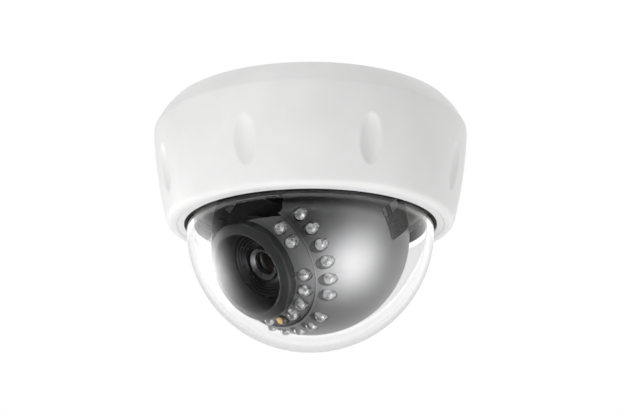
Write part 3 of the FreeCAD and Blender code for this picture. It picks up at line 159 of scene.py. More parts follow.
def soft_patch(direction, width, brightness):
    """A round glow that is half as bright at the width, in degrees, away from its middle."""
    facing = add_node(room, "ShaderNodeVectorMath", operation="DOT_PRODUCT")
    room.links.new(way_node.outputs["Generated"], facing.inputs[0])
    facing.inputs[1].default_value = Vector(direction).normalized()
    sharpness = math.log(2) / (1 - math.cos(math.radians(width)))
    turned_away = maths(room, "SUBTRACT", facing.outputs["Value"], 1.0)
    return times(maths(room, "EXPONENT", times(turned_away, sharpness)), brightness)


def smooth_step(source, low, high, top):
    """Nothing below low, the top value above high, a soft change between them."""
    ramp = add_node(room, "ShaderNodeMapRange", interpolation_type="SMOOTHSTEP")
    ramp.inputs["From Min"].default_value = low
    ramp.inputs["From Max"].default_value = high
    ramp.inputs["To Max"].default_value = top
    room.links.new(source, ramp.inputs["Value"])
    return ramp.outputs["Result"]


# %% the glowing parts of the room that gloss sees
right, back, up = (apart.outputs[axis] for axis in "XYZ")
down = times(up, -1.0)
back_glow = maths(room, "SUBTRACT", smooth_step(back, 0.15, 0.8, top=0.95),
                  smooth_step(back, 0.9, 0.97, top=0.15))
right_glow = smooth_step(right, 0.3, 0.95, top=0.4)
floor_glow = times(smooth_step(down, 0.35, 1.0, top=0.55), smooth_step(right, -0.35, 0.35, top=1.0))
eyeball_patch = soft_patch((0.66, -0.45, -0.60), width=23, brightness=4.8)
dome_patch = soft_patch((-0.88, 0.43, -0.20), width=14, brightness=4.8)
glows = plus(maths(room, "MAXIMUM", back_glow, floor_glow), right_glow)
gloss = plus(plus(glows, FRONT_LEVEL), plus(eyeball_patch, dome_patch))
print("the room for gloss takes", len(room.nodes), "nodes")

# %% each kind of ray gets its own room
scattered, mirrored = has_been("Diffuse"), has_been("Glossy")
sees_gloss = times(mirrored, opposite(scattered))
sees_white = times(opposite(mirrored), opposite(scattered))
scattered_level = plus(times(has_been("Transmission"), INSIDE_LEVEL - ROOM_LEVEL), ROOM_LEVEL)
total = plus(times(scattered, scattered_level), plus(sees_white, times(sees_gloss, gloss)))
background = add_node(room, "ShaderNodeBackground")
background.inputs["Color"].default_value = (1, 1, 1, 1)
room.links.new(total, background.inputs["Strength"])
room.links.new(background.outputs[0], add_node(room, "ShaderNodeOutputWorld").inputs[0])
print("room light:", ROOM_LEVEL, "outside the dome,", INSIDE_LEVEL, "inside")

# %% [markdown]
# ## Lamps
# Four lamps add shape to the white cover: one at the front left, one above, a stronger one below
# and a weaker one at the back right. They leave no hard reflection, because gloss and clear plastic
# do not see them.

# %% lamps that shape the white cover
LAMP_AIM = Vector((0, 0, -0.03))
SOFT_BOXES = {  # direction, distance, size, watts
    "front left box": ((-0.78, -0.62, -0.2), 1.4, 0.9, 5.6),
    "top box": ((0.0, -0.3, 1.0), 1.4, 0.9, 5.6),
    "low box": ((-0.15, -0.3, -1.0), 1.3, 0.9, 8.0),
    "back right box": ((0.95, 0.3, -0.1), 1.3, 0.5, 3.0),
}


def soft_box(name, direction, distance, size, watts):
    """A square lamp that faces the camera's cover; gloss and clear plastic don't see it."""
    lamp = bpy.data.lights.new(name, "AREA")
    lamp.size = size
    lamp.energy = watts
    holder = bpy.data.objects.new(name, lamp)
    scene.collection.objects.link(holder)
    way = Vector(direction).normalized()
    holder.location = LAMP_AIM + way * distance
    holder.rotation_euler = (-way).to_track_quat("-Z", "Z").to_euler()
    holder.visible_camera = False
    holder.visible_glossy = False
    holder.visible_transmission = False
    print(f"{name}: {watts} W")


for box_name, box_values in SOFT_BOXES.items():
    soft_box(box_name, *box_values)

# %% [markdown]
# ## Floor
# The camera hangs in the air, so the floor lies far below it. Only the eye sees the floor. It sends
# no light back and shows in no reflection, so the piece looks the same over any floor.

# %% floor
FLOOR_LEVEL = -1.5
FLOOR_HALF = 60.0
QUARTERS = ((-1, -1), (1, -1), (1, 1), (-1, 1))
floor_mesh = bpy.data.meshes.new("floor")
floor_corners = [(x * FLOOR_HALF, y * FLOOR_HALF, FLOOR_LEVEL) for x, y in QUARTERS]
floor_mesh.from_pydata(floor_corners, [], [(0, 1, 2, 3)])
floor = bpy.data.objects.new("floor", floor_mesh)
scene.collection.objects.link(floor)
for ray_kind in ("visible_glossy", "visible_transmission", "visible_diffuse"):
    setattr(floor, ray_kind, False)
print("floor at", FLOOR_LEVEL, "m")

# %% [markdown]
# ## Finishes
# Every finish starts from a Principled shader whose even values sit on its own sockets. Variation
# comes from noise on Object coordinates, which stays put on the piece when the piece moves. The
# helpers below add three things: a slow change of colour, a change of gloss, and a fine bump.

# %% helpers for finishes


def new_finish(name, colour, roughness, **even):
    """A material with a Principled shader; even values are set on the shader's own sockets."""
    finish = bpy.data.materials.new(name)
    finish.use_nodes = True
    shader = finish.node_tree.nodes["Principled BSDF"]
    shader.inputs["Base Color"].default_value = (*colour, 1)
    shader.inputs["Roughness"].default_value = roughness
    for socket, value in even.items():
        shader.inputs[socket.replace("_", " ")].default_value = value
    finish.diffuse_color = (*colour, 1)
    return finish


def noise(finish, scale, detail=3.0, stretch=(1, 1, 1)):
    """Noise on Object coordinates; the scale is in features per metre."""
    tree = finish.node_tree
    spot = add_node(tree, "ShaderNodeTexCoord")
    frame_node = add_node(tree, "ShaderNodeMapping")
    frame_node.inputs["Scale"].default_value = stretch
    grain = add_node(tree, "ShaderNodeTexNoise")
    grain.inputs["Scale"].default_value = scale
    grain.inputs["Detail"].default_value = detail
    tree.links.new(spot.outputs["Object"], frame_node.inputs[0])
    tree.links.new(frame_node.outputs[0], grain.inputs["Vector"])
    return grain.outputs["Fac"]


def shader_of(finish):
    return finish.node_tree.nodes["Principled BSDF"]


def vary_colour(finish, source, dark, light, low=0.35, high=0.65):
    """The base colour runs between two tones as the source goes from low to high."""
    tree = finish.node_tree
    ramp = add_node(tree, "ShaderNodeValToRGB")
    ramp.color_ramp.elements[0].position = low
    ramp.color_ramp.elements[0].color = (*dark, 1)
    ramp.color_ramp.elements[1].position = high
    ramp.color_ramp.elements[1].color = (*light, 1)
    tree.links.new(source, ramp.inputs[0])
    tree.links.new(ramp.outputs[0], shader_of(finish).inputs["Base Color"])


NOISE_LOW, NOISE_HIGH = 0.3, 0.7  # most of the noise lies between these


def vary_gloss(finish, source, low, high):
    """The roughness runs between two values with the source."""
    tree = finish.node_tree
    spread = add_node(tree, "ShaderNodeMapRange")
    spread.inputs["From Min"].default_value = NOISE_LOW
    spread.inputs["From Max"].default_value = NOISE_HIGH
    spread.inputs["To Min"].default_value = low
    spread.inputs["To Max"].default_value = high
    tree.links.new(source, spread.inputs["Value"])
    tree.links.new(spread.outputs["Result"], shader_of(finish).inputs["Roughness"])


def add_bump(finish, source, depth, strength=0.3):
    """A fine relief; the depth is in metres."""
    tree = finish.node_tree
    relief = add_node(tree, "ShaderNodeBump")
    relief.inputs["Strength"].default_value = strength
    relief.inputs["Distance"].default_value = depth
    tree.links.new(source, relief.inputs["Height"])
    tree.links.new(relief.outputs[0], shader_of(finish).inputs["Normal"])


MOTTLE_SCALE, GLOSS_SCALE = 60, 180  # features per metre


def moulded(name, dark, light, roughness, spread=0.06, grain=2500, depth=0.02 * MM, **even):
    """A moulded or painted surface: slow mottling, patchy gloss and a fine skin."""
    finish = new_finish(name, light, roughness, **even)
    vary_colour(finish, noise(finish, MOTTLE_SCALE), dark, light)
    vary_gloss(finish, noise(finish, GLOSS_SCALE), roughness - spread, roughness + spread)
    add_bump(finish, noise(finish, grain), depth)
    print("finish:", name)
    return finish


# %% [markdown]
# ## The plastics and metals
# The cover is a satin off-white moulding. The eyeball is sprayed in a dark metallic grey, which
# spreads a lamp into one broad soft highlight. The lens pieces are matt black, painted darker than
# black plastic is as painted shade in the slot and the funnel. The inner trim is cream, and the
# screws are zinc-plated.

# %% plastics and metals
cover_white = moulded("satin_white", (0.80, 0.80, 0.795), (0.83, 0.83, 0.825), 0.42, grain=1400)
eyeball_grey = moulded("dark_metallic_grey", (0.21, 0.21, 0.215), (0.235, 0.235, 0.24), 0.42,
                       spread=0.02, grain=5000, depth=0.005 * MM, Metallic=1.0)
# The face cover's grey is the eyeball's paint made lighter and less metallic, as painted light.
face_grey_painted_light = moulded("face_metallic_grey", (0.25, 0.25, 0.255), (0.275, 0.275, 0.28), 0.42,
                    spread=0.02, grain=5000, depth=0.005 * MM, Metallic=0.86)
# This black is darker than any plastic: painted shade that keeps the slot and the eyeball's hollows
# dark.
matt_black = moulded("matt_black", (0.001, 0.001, 0.0011), (0.002, 0.002, 0.0021), 0.55,
                     Specular_IOR_Level=0.15)
face_black = moulded("satin_black", (0.008, 0.008, 0.009), (0.012, 0.012, 0.013), 0.36)
hood_grey = moulded("hood_grey", (0.016, 0.016, 0.0165), (0.021, 0.021, 0.0215), 0.42)
# The anodised black is darker than anodising: painted shade inside the lens's funnel. Painted
# highlights on its crests are added further down.
lens_black_painted_shade_and_highlights = moulded("anodised_black", (0.0015, 0.0015, 0.0017), (0.003, 0.003, 0.0032), 0.24,
                     grain=4000, Specular_IOR_Level=0.3)
rubber = moulded("soft_rubber", (0.0015, 0.0015, 0.0015), (0.003, 0.003, 0.003), 0.62, grain=900,
                 Specular_IOR_Level=0.2)
cream = moulded("cream_nylon", (0.76, 0.72, 0.65), (0.82, 0.78, 0.72), 0.48)
white_nylon = moulded("white_nylon", (0.72, 0.71, 0.66), (0.80, 0.79, 0.75), 0.45)
zinc = moulded("zinc_plate", (0.50, 0.50, 0.49), (0.66, 0.66, 0.65), 0.3, Metallic=1.0)
bright_steel = moulded("bright_steel", (0.62, 0.62, 0.62), (0.78, 0.78, 0.78), 0.22, Metallic=1.0)
dark_steel = moulded("dark_chrome", (0.09, 0.09, 0.093), (0.11, 0.11, 0.113), 0.26, Metallic=1.0)
copper = moulded("lacquered_copper", (0.50, 0.20, 0.08), (0.68, 0.32, 0.14), 0.34, Metallic=1.0)
silver_plate = new_finish("silver_plate", (0.94, 0.94, 0.95), 0.16, Metallic=0.5)
vary_colour(silver_plate, noise(silver_plate, 1500, detail=1.0),
            dark=(0.24, 0.24, 0.245), light=(1.0, 1.0, 1.0), low=0.40, high=0.54)
amber = moulded("amber_resin", (0.80, 0.42, 0.08), (0.98, 0.62, 0.20), 0.08, spread=0.03,
                Transmission_Weight=0.45)

# %% [markdown]
# ## Clear and coated parts
# The dome is clear polycarbonate, so it bends light and darkens a little along its rim, where the
# eye looks through more of it. Absorption inside the plastic gives that for nothing. The LED resin
# is water-clear, and the lens glass carries a dark coating.

# %% clear parts
HAZE_SCALE, HAZE = 120, 0.985


def clear_finish(name, colour, ior, absorbs=None, density=0.0):
    """A polished clear material; what it absorbs tints it where it is thick."""
    finish = new_finish(name, colour, 0.0, Transmission_Weight=1.0, IOR=ior)
    vary_colour(finish, noise(finish, HAZE_SCALE), [part * HAZE for part in colour], colour)
    if absorbs:
        tree = finish.node_tree
        depth = add_node(tree, "ShaderNodeVolumeAbsorption")
        depth.inputs["Color"].default_value = (*absorbs, 1)
        depth.inputs["Density"].default_value = density
        tree.links.new(depth.outputs[0], tree.nodes["Material Output"].inputs["Volume"])
    print("finish:", name)
    return finish


RESIN_SKIN = {"Transmission Weight": 0.92, "Coat Weight": 1.0, "Coat IOR": 2.0,
              "Coat Roughness": 0.06}
clear_dome = clear_finish("clear_polycarbonate", (0.99, 0.99, 0.99), ior=1.5,
                          absorbs=(0.6, 0.61, 0.63), density=20.0)
led_resin = clear_finish("water_clear_resin", (0.98, 0.985, 0.99), ior=1.54)
for socket, value in RESIN_SKIN.items():
    shader_of(led_resin).inputs[socket].default_value = value
lens_glass = clear_finish("coated_glass", (0.10, 0.04, 0.034), ior=1.4)
filter_glass = clear_finish("filter_glass", (0.60, 0.85, 0.88), ior=1.52)

# %% [markdown]
# The floor stays plain and pale. Its tone drifts a very little, as a painted studio floor does.

# %% floor finish
floor_finish = new_finish("pale_floor", (0.86, 0.86, 0.86), 0.8)
vary_colour(floor_finish, noise(floor_finish, 3), (0.85, 0.85, 0.85), (0.87, 0.87, 0.87))
floor.data.materials.append(floor_finish)
print("finish:", floor_finish.name)

# %% [markdown]
# ## Circuit boards
# The boards have black solder resist with copper runs showing through as a faint relief; the parts
# on them have finishes of their own. A brick pattern reads as bundles of runs.

# %% board finish
RUN_SCALE, RUN_RELIEF, RUN_STRENGTH = 160, 0.03 * MM, 0.4
RUN_COLOURS = {"Color1": (0.010, 0.011, 0.012), "Color2": (0.018, 0.020, 0.022),
               "Mortar": (0.030, 0.032, 0.034)}
board_black = new_finish("black_solder_resist", (0.012, 0.013, 0.014), 0.3)
board_tree = board_black.node_tree
runs = add_node(board_tree, "ShaderNodeTexBrick")
runs.inputs["Scale"].default_value = RUN_SCALE
for socket, colour in RUN_COLOURS.items():
    runs.inputs[socket].default_value = (*colour, 1)
board_spot = add_node(board_tree, "ShaderNodeTexCoord")
board_tree.links.new(board_spot.outputs["Object"], runs.inputs["Vector"])
board_tree.links.new(runs.outputs["Color"], shader_of(board_black).inputs["Base Color"])
add_bump(board_black, runs.outputs["Fac"], RUN_RELIEF, RUN_STRENGTH)
print("finish:", board_black.name)

# %% [markdown]
# ## Turned shapes
# Most of this camera is turned on a lathe or moulded as if it were: cover, dome, LEDs. One helper
# draws them all. It takes an outline of corners in millimetres, rounds the corners that ask for it,
# and spins the outline about Z. A turned mesh has an even grid, so it catches light more cleanly
# than a mesh that was cut up from a solid.

# %% helpers for turned shapes


def rounded_outline(corners, arc_steps=6):
    """Points along an outline of (radius, height, rounding) corners, in millimetres."""
    points = []
    for index, (radius, height, rounding) in enumerate(corners):
        corner = Vector((radius, height))
        if not rounding or index in (0, len(corners) - 1):
            points.append(corner)
            continue
        back = (Vector(corners[index - 1][:2]) - corner).normalized()
        ahead = (Vector(corners[index + 1][:2]) - corner).normalized()
        half = back.angle(ahead) / 2
        middle = corner + (back + ahead).normalized() * rounding / math.sin(half)
        start = corner + back * rounding / math.tan(half) - middle
        sweep = start.angle_signed(corner + ahead * rounding / math.tan(half) - middle)
        for step in range(arc_steps + 1):
            points.append(middle + Matrix.Rotation(-sweep * step / arc_steps, 2) @ start)
    return [(point.x, point.y) for point in points]


def turned(name, outline, steps, closed=True, sink=None):
    """A mesh spun about Z from (radius, height) points; sink pulls points inwards."""
    angles = np.arange(steps) * 2 * math.pi / steps
    corners, faces, rows = [], [], []
    for radius, height in outline:
        if radius < 1e-6:
            rows.append([len(corners)] * steps)
            corners.append((0, 0, height * MM))
            continue
        reach = radius - (sink(radius, height, angles) if sink else np.zeros(steps))
        rows.append(list(range(len(corners), len(corners) + steps)))
        across, along = reach * np.cos(angles) * MM, reach * np.sin(angles) * MM
        corners += zip(across, along, [height * MM] * steps)
    for low, high in zip(rows, rows[1:] + rows[:1] if closed else rows[1:]):
        for step in range(steps):
            after = (step + 1) % steps
            face = dict.fromkeys((low[step], low[after], high[after], high[step]))
            if len(face) > 2:
                faces.append(tuple(face))
    mesh = bpy.data.meshes.new(name)
    mesh.from_pydata(corners, [], faces)
    return finish_mesh(mesh)


def finish_mesh(mesh, sharp_from=32):
    """Faces turned outwards, smooth shading, and crisp edges where the surface breaks."""
    shape = bmesh.new()
    shape.from_mesh(mesh)
    bmesh.ops.recalc_face_normals(shape, faces=shape.faces)
    shape.to_mesh(mesh)
    shape.free()
    mesh.shade_smooth()
    mesh.set_sharp_from_angle(angle=math.radians(sharp_from))
    return mesh


def put(mesh, finish, body, *stands_for, slot):
    """The mesh becomes a piece on a body, with its finish, in place of some solid-model pieces."""
    piece = bpy.data.objects.new(mesh.name, mesh)
    scene.collection.objects.link(piece)
    mesh.materials.clear()
    mesh.materials.append(finish)
    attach(piece, body)
    if stands_for:
        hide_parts(*stands_for)
    print(f"{mesh.name}: {len(mesh.polygons)} faces on {body}")
    return piece


# %% [markdown]
# ## The cover
# The cover is one moulding: a wide bevel at the ceiling, a slightly bellied wall and a rolled lip.
# Eight oval dimples give the fingertips a grip for twisting it. On a real moulding the edge of a
# dimple is soft, so the wall is sunk by a smooth function of the distance from each dimple's middle
# instead of being cut. The function rises like a ramp but has no kink where it starts.

# %% the wall and its dimples
SHOULDER_RADIUS, SHOULDER_LEVEL = 65.3, -9.9
LIP_RADIUS, LIP_LEVEL = 58.6, -49.7
WALL_HEIGHT = SHOULDER_LEVEL - LIP_LEVEL
WALL_BELLY = 1.1
WALL_THICKNESS = 2.4
DIMPLE_COUNT, DIMPLE_START, DIMPLE_LEVEL = 8, 21.5, -31.3
DIMPLE_HALF_HEIGHT, DIMPLE_HALF_WIDTH = 11.3, 5.1
DIMPLE_BOWL, DIMPLE_DEPTH, DIMPLE_SOFTNESS = 3.4, 1.7, 0.11
RIM_DROP, RIM_FALL = 1.8, 4.0


def wall_radius(share, inset=0.0):
    """The wall's radius from the shoulder (0) to the lip (1)."""
    straight = SHOULDER_RADIUS - (SHOULDER_RADIUS - LIP_RADIUS) * share
    return straight + 4 * WALL_BELLY * share * (1 - share) - inset


def wall_level(share):
    return SHOULDER_LEVEL - WALL_HEIGHT * share


def wall_corners(shares, inset=0.0):
    return [(wall_radius(share, inset), wall_level(share), 0) for share in shares]


def dimple_sink(radius, level, angles):
    """How far each point of the outer wall is sunk, in millimetres."""
    share = (SHOULDER_LEVEL - level) / WALL_HEIGHT
    if not 0 < share < 1 or radius < wall_radius(share, 0.5):
        return np.zeros(len(angles))
    step = 2 * math.pi / DIMPLE_COUNT
    turn = np.mod(angles - math.radians(DIMPLE_START) + step / 2, step) - step / 2
    across, up = radius * turn, level - DIMPLE_LEVEL
    oval = (up / DIMPLE_HALF_HEIGHT) ** 2 + (across / DIMPLE_HALF_WIDTH) ** 2
    bowl = DIMPLE_BOWL * np.sqrt(np.clip(1 - oval, 0, 1)) - DIMPLE_BOWL + DIMPLE_DEPTH
    scoop = np.where(oval < 1, bowl, -RIM_DROP - RIM_FALL * (oval - 1))
    scoop -= across ** 2 / (2 * radius)
    return DIMPLE_SOFTNESS * np.log1p(np.exp(scoop / DIMPLE_SOFTNESS))


print("wall:", WALL_HEIGHT, "mm high, with", DIMPLE_COUNT, "dimples")


# %% cover shell
BACK_LEVEL, BACK_RADIUS, BACK_INNER = -0.5, 59.0, 56.6
HOLE_RADIUS, LEDGE_LEVEL = 51.25, -46.2
top_corners = [(BACK_INNER, BACK_LEVEL, 0), (BACK_RADIUS, BACK_LEVEL, 0.4), (62.3, -4.4, 20.0),
               (65.27, SHOULDER_LEVEL, 2.6)]
lip_corners = [(LIP_RADIUS, LIP_LEVEL, 3.0), (55.1, LIP_LEVEL, 0.25), (54.7, -49.3, 0.2),
               (HOLE_RADIUS, -49.4, 0.15), (HOLE_RADIUS, LEDGE_LEVEL, 0), (56.2, LEDGE_LEVEL, 0.6)]
inner_corners = [(SHOULDER_RADIUS - WALL_THICKNESS, SHOULDER_LEVEL, 1.5),
                 (BACK_INNER, BACK_LEVEL, 0)]
cover_outline = rounded_outline([
    *top_corners, *wall_corners(np.linspace(0.06, 0.91, 76)), *lip_corners,
    *wall_corners(np.linspace(0.88, 0.02, 12), WALL_THICKNESS), *inner_corners,
])[:-1]
cover_mesh = turned("cover_moulding", cover_outline, 560, sink=dimple_sink)
print("cover shell:", len(cover_outline), "rings")

# %% [markdown]
# ## Parts on an arc
# LEDs, screw bosses and hooks repeat around a circle. A small Geometry Nodes tree does that: it
# lays points along an arc, stands a copy of one part on each, and turns it to face outwards. Copies
# are joined into one mesh at the end.

# %% the tree that repeats a part along an arc
ARC_SOCKETS = (("Part", "Object"), ("Count", "Int"), ("Radius", "Float"), ("First Angle", "Float"),
               ("Angle Step", "Float"), ("Level", "Float"), ("Finish", "Material"))


def arc_tree():
    """Points on an arc, a copy of the part on each, all joined and painted."""
    tree = bpy.data.node_groups.new("parts on an arc", "GeometryNodeTree")
    tree.interface.new_socket("Result", in_out="OUTPUT", socket_type="NodeSocketGeometry")
    for name, kind in ARC_SOCKETS:
        tree.interface.new_socket(name, in_out="INPUT", socket_type=f"NodeSocket{kind}")
    given = add_node(tree, "NodeGroupInput").outputs
    line = add_node(tree, "GeometryNodeMeshLine")
    line.inputs["Offset"].default_value = (0, 0, 0)
    tree.links.new(given["Count"], line.inputs["Count"])
    number = add_node(tree, "GeometryNodeInputIndex").outputs[0]
    further = maths(tree, "MULTIPLY", number, given["Angle Step"])
    turn = maths(tree, "RADIANS", maths(tree, "ADD", given["First Angle"], further))
    spot = add_node(tree, "ShaderNodeCombineXYZ")
    for axis, wave in (("X", "COSINE"), ("Y", "SINE")):
        reach = maths(tree, "MULTIPLY", maths(tree, wave, turn), given["Radius"])
        tree.links.new(reach, spot.inputs[axis])
    tree.links.new(given["Level"], spot.inputs["Z"])
    moved = add_node(tree, "GeometryNodeSetPosition")
    tree.links.new(line.outputs["Mesh"], moved.inputs["Geometry"])
    tree.links.new(spot.outputs[0], moved.inputs["Position"])
    facing = add_node(tree, "ShaderNodeCombineXYZ")
    tree.links.new(turn, facing.inputs["Z"])
    part = add_node(tree, "GeometryNodeObjectInfo")
    tree.links.new(given["Part"], part.inputs["Object"])
    copies = add_node(tree, "GeometryNodeInstanceOnPoints")
    tree.links.new(moved.outputs["Geometry"], copies.inputs["Points"])
    tree.links.new(part.outputs["Geometry"], copies.inputs["Instance"])
    tree.links.new(facing.outputs[0], copies.inputs["Rotation"])
    joined = add_node(tree, "GeometryNodeRealizeInstances")
    tree.links.new(copies.outputs[0], joined.inputs[0])
    painted = add_node(tree, "GeometryNodeSetMaterial")
    tree.links.new(joined.outputs[0], painted.inputs["Geometry"])
    tree.links.new(given["Finish"], painted.inputs["Material"])
    tree.links.new(painted.outputs[0], add_node(tree, "NodeGroupOutput").inputs[0])
    return tree


ARC_TREE = arc_tree()
ARC_INPUTS = {item.name: item.identifier for item in ARC_TREE.interface.items_tree
              if item.in_out == "INPUT"}


def along_arcs(name, part_mesh, arcs, radius, level, finish, place=None):
    """One mesh of the part repeated on (count, first angle, step) arcs; sizes in millimetres."""
    part = bpy.data.objects.new(f"{name} part", part_mesh)
    whole = bmesh.new()
    for count, first, step in arcs:
        holder = bpy.data.objects.new("arc", bpy.data.meshes.new("arc"))
        scene.collection.objects.link(holder)
        layer = holder.modifiers.new("arc", "NODES")
        layer.node_group = ARC_TREE
        values = {"Part": part, "Count": count, "Radius": radius * MM, "First Angle": float(first),
                  "Angle Step": float(step), "Level": level * MM, "Finish": finish}
        for label, value in values.items():
            layer[ARC_INPUTS[label]] = value
        depsgraph = bpy.context.evaluated_depsgraph_get()
        laid = bpy.data.meshes.new_from_object(holder.evaluated_get(depsgraph))
        whole.from_mesh(laid)
        bpy.data.objects.remove(holder)
    bpy.data.objects.remove(part)
    mesh = bpy.data.meshes.new(name)
    whole.to_mesh(mesh)
    whole.free()
    if place:
        mesh.transform(place)
    return finish_mesh(mesh)


print("inputs:", ", ".join(ARC_INPUTS))

# %% screw bosses inside the cover
BOSS_CIRCLE, BOSS_RADIUS, BOSS_BORE = 54, 2.1, 1.0
BOSS_FOOT, BOSS_TOP, BORE_FLOOR = -45.6, -42.7, -45.3
boss = turned("boss", rounded_outline([
    (0, BOSS_FOOT, 0), (BOSS_RADIUS, BOSS_FOOT, 0), (BOSS_RADIUS, BOSS_TOP, 0.2),
    (BOSS_BORE, BOSS_TOP, 0.1), (BOSS_BORE, BORE_FLOOR, 0), (0, BORE_FLOOR, 0),
]), 28, closed=False)
boss_mesh = along_arcs("screw_bosses", boss, [(4, 45, 90)], BOSS_CIRCLE, 0, cover_white)
print("screw bosses:", len(boss_mesh.polygons), "faces")

# %% twist hooks inside the cover
HOOK_SPAN, HOOK_STEPS = 23.6, 24
HOOK_SECTION = ((51.8, -11.7), (62.9, -11.7), (62.9, -8.2), (51.8, -8.2))


def hook_block():
    """A piece of a ring, from angle 0; the twist hook that catches the base."""
    hook = bmesh.new()
    sections = []
    for step in range(HOOK_STEPS + 1):
        turn = math.radians(HOOK_SPAN * step / HOOK_STEPS)
        sections.append([
            hook.verts.new((reach * math.cos(turn) * MM, reach * math.sin(turn) * MM, level * MM))
            for reach, level in HOOK_SECTION])
    for before, after in zip(sections, sections[1:]):
        for side in range(4):
            ahead = (side + 1) % 4
            hook.faces.new((before[side], before[ahead], after[ahead], after[side]))
    hook.faces.new(sections[0])
    hook.faces.new(sections[-1])
    mesh = bpy.data.meshes.new("hook")
    hook.to_mesh(mesh)
    hook.free()
    return mesh


hook_mesh = along_arcs("twist_hooks", hook_block(), [(3, 0.4, 120)], 0, 0, cover_white)
print("twist hooks:", len(hook_mesh.polygons), "faces")

# %% [markdown]
# ## The dome
# The dome is a hollow half-sphere of clear plastic with a short neck and a flange. Both skins are
# drawn, because light bends at the outer skin and again at the inner one, and that is what makes
# the dome's rim visible.

# %% dome
DOME_OUTER, DOME_INNER, DOME_LEVEL = 50.8, 48.3, -50.2
FLANGE_RADIUS, FLANGE_FOOT, FLANGE_TOP = 51.7, -45.2, -42.7
DOME_RINGS = 110


def quarter(radius):
    """A quarter circle from the bottom pole up to the dome's equator."""
    turns = np.linspace(-math.pi / 2, 0, DOME_RINGS)
    arc = [(radius * math.cos(turn), DOME_LEVEL + radius * math.sin(turn), 0) for turn in turns]
    return [(0, DOME_LEVEL - radius, 0), *arc[1:]]


dome_outline = rounded_outline([
    *quarter(DOME_OUTER), (DOME_OUTER, FLANGE_FOOT, 0), (FLANGE_RADIUS, FLANGE_FOOT, 0),
    (FLANGE_RADIUS, FLANGE_TOP, 0.3), (DOME_INNER, FLANGE_TOP, 0.3), *reversed(quarter(DOME_INNER)),
])
dome_mesh = turned("clear_dome", dome_outline, 400, closed=False)
print("dome:", len(dome_mesh.polygons), "faces")

# %% [markdown]
# ## The LEDs
# Each LED is a clear bullet of resin, about five millimetres thick, with a flange at its foot.
# Inside are two metal legs: a wide one with a small cup on top that holds the chip, and a thin one
# beside it. The round tip works as a lens and makes the metal fill the whole face, with the gap
# between the legs as a dark line.

# %% one LED
RESIN_RADIUS, RESIN_SHOULDER = 2.3, 5.9
FOOT_RADIUS, FOOT_HEIGHT = 2.8, 1.0
tip_turns = np.linspace(0.13, 1.44, 9)
resin_part = turned("resin bullet", rounded_outline([
    (0, 0, 0), (FOOT_RADIUS, 0, 0), (FOOT_RADIUS, FOOT_HEIGHT, 0.15),
    (RESIN_RADIUS, FOOT_HEIGHT, 0), (RESIN_RADIUS, RESIN_SHOULDER, 0),
    *[(RESIN_RADIUS * math.cos(turn), RESIN_SHOULDER + RESIN_RADIUS * math.sin(turn), 0)
      for turn in tip_turns],
    (0, RESIN_SHOULDER + RESIN_RADIUS, 0),
]), 32, closed=False)
CUP_LEG = ((-1.8, -1.3, 1.1), (0.25, 1.3, 5.4))
THIN_LEG = ((0.75, -1.0, 1.1), (1.85, 1.0, 5.7))
CUP_RIM, CUP_DEPTH, CUP_TAPER, LEG_BEVEL = 0.3, 1.2, 0.45, 0.1


def led_metal():
    """The cup's leg and the thin leg, with bevelled edges; the cup is sunk and tapers downwards."""
    metal = bmesh.new()
    for low, high in (CUP_LEG, THIN_LEG):
        middle = (Vector(low) + Vector(high)) / 2 * MM
        block = bmesh.ops.create_cube(metal, size=1)["verts"]
        bmesh.ops.scale(metal, vec=(Vector(high) - Vector(low)) * MM, verts=block)
        bmesh.ops.translate(metal, vec=middle, verts=block)
    cup_tops = [face for face in metal.faces
                if face.normal.z > 0.9 and face.calc_center_median().x < 0]
    top = max(cup_tops, key=lambda face: face.calc_center_median().z)
    bmesh.ops.inset_individual(metal, faces=[top], thickness=CUP_RIM * MM)
    bmesh.ops.translate(metal, vec=(0, 0, -CUP_DEPTH * MM), verts=top.verts)
    bmesh.ops.scale(metal, vec=(CUP_TAPER, CUP_TAPER, 1), verts=top.verts,
                    space=Matrix.Translation(-top.calc_center_median()))
    bmesh.ops.bevel(metal, geom=metal.edges[:], offset=LEG_BEVEL * MM, segments=2, affect="EDGES")
    mesh = bpy.data.meshes.new("led legs")
    metal.to_mesh(mesh)
    metal.free()
    return finish_mesh(mesh)


metal_part = led_metal()
print("one LED:", len(resin_part.polygons), "resin faces,", len(metal_part.polygons), "metal faces")

# %% LEDs on their two arcs
OUTER_CIRCLE, OUTER_FOOT = 29.9, 20.395
INNER_CIRCLE, INNER_FOOT = 22.6, 26.295
OUTER_ARCS = [(5, -28.4, 14.2), (6, 50.9, 13.4), (6, -50.9, -13.4)]
INNER_ARCS = [(4, 17.4, 17.4), (4, -17.4, -17.4), (2, 104.4, 17.4), (2, -104.4, -17.4)]
LED_SETS = [("outer", OUTER_ARCS, OUTER_CIRCLE, OUTER_FOOT),
            ("inner", INNER_ARCS, INNER_CIRCLE, INNER_FOOT)]
LED_PARTS = [("resin", resin_part, led_resin), ("legs", metal_part, silver_plate)]
led_meshes = {}
for label, arcs, circle, foot in LED_SETS:
    for kind, part, finish in LED_PARTS:
        led_meshes[label, kind] = along_arcs(
            f"{label}_led_{kind}", part, arcs, circle, foot, finish, LENS)
    print(label, "LEDs:", sum(count for count, first, step in arcs))

# %% [markdown]
# ## The lens
# The front of the lens is a funnel of fine steps, cut so that stray light is caught instead of
# reaching the glass. A small ring with a rounded front holds the glass. The hood is a collar around
# it all, and it flares a little towards its mouth. These are turned in the lens's frame.

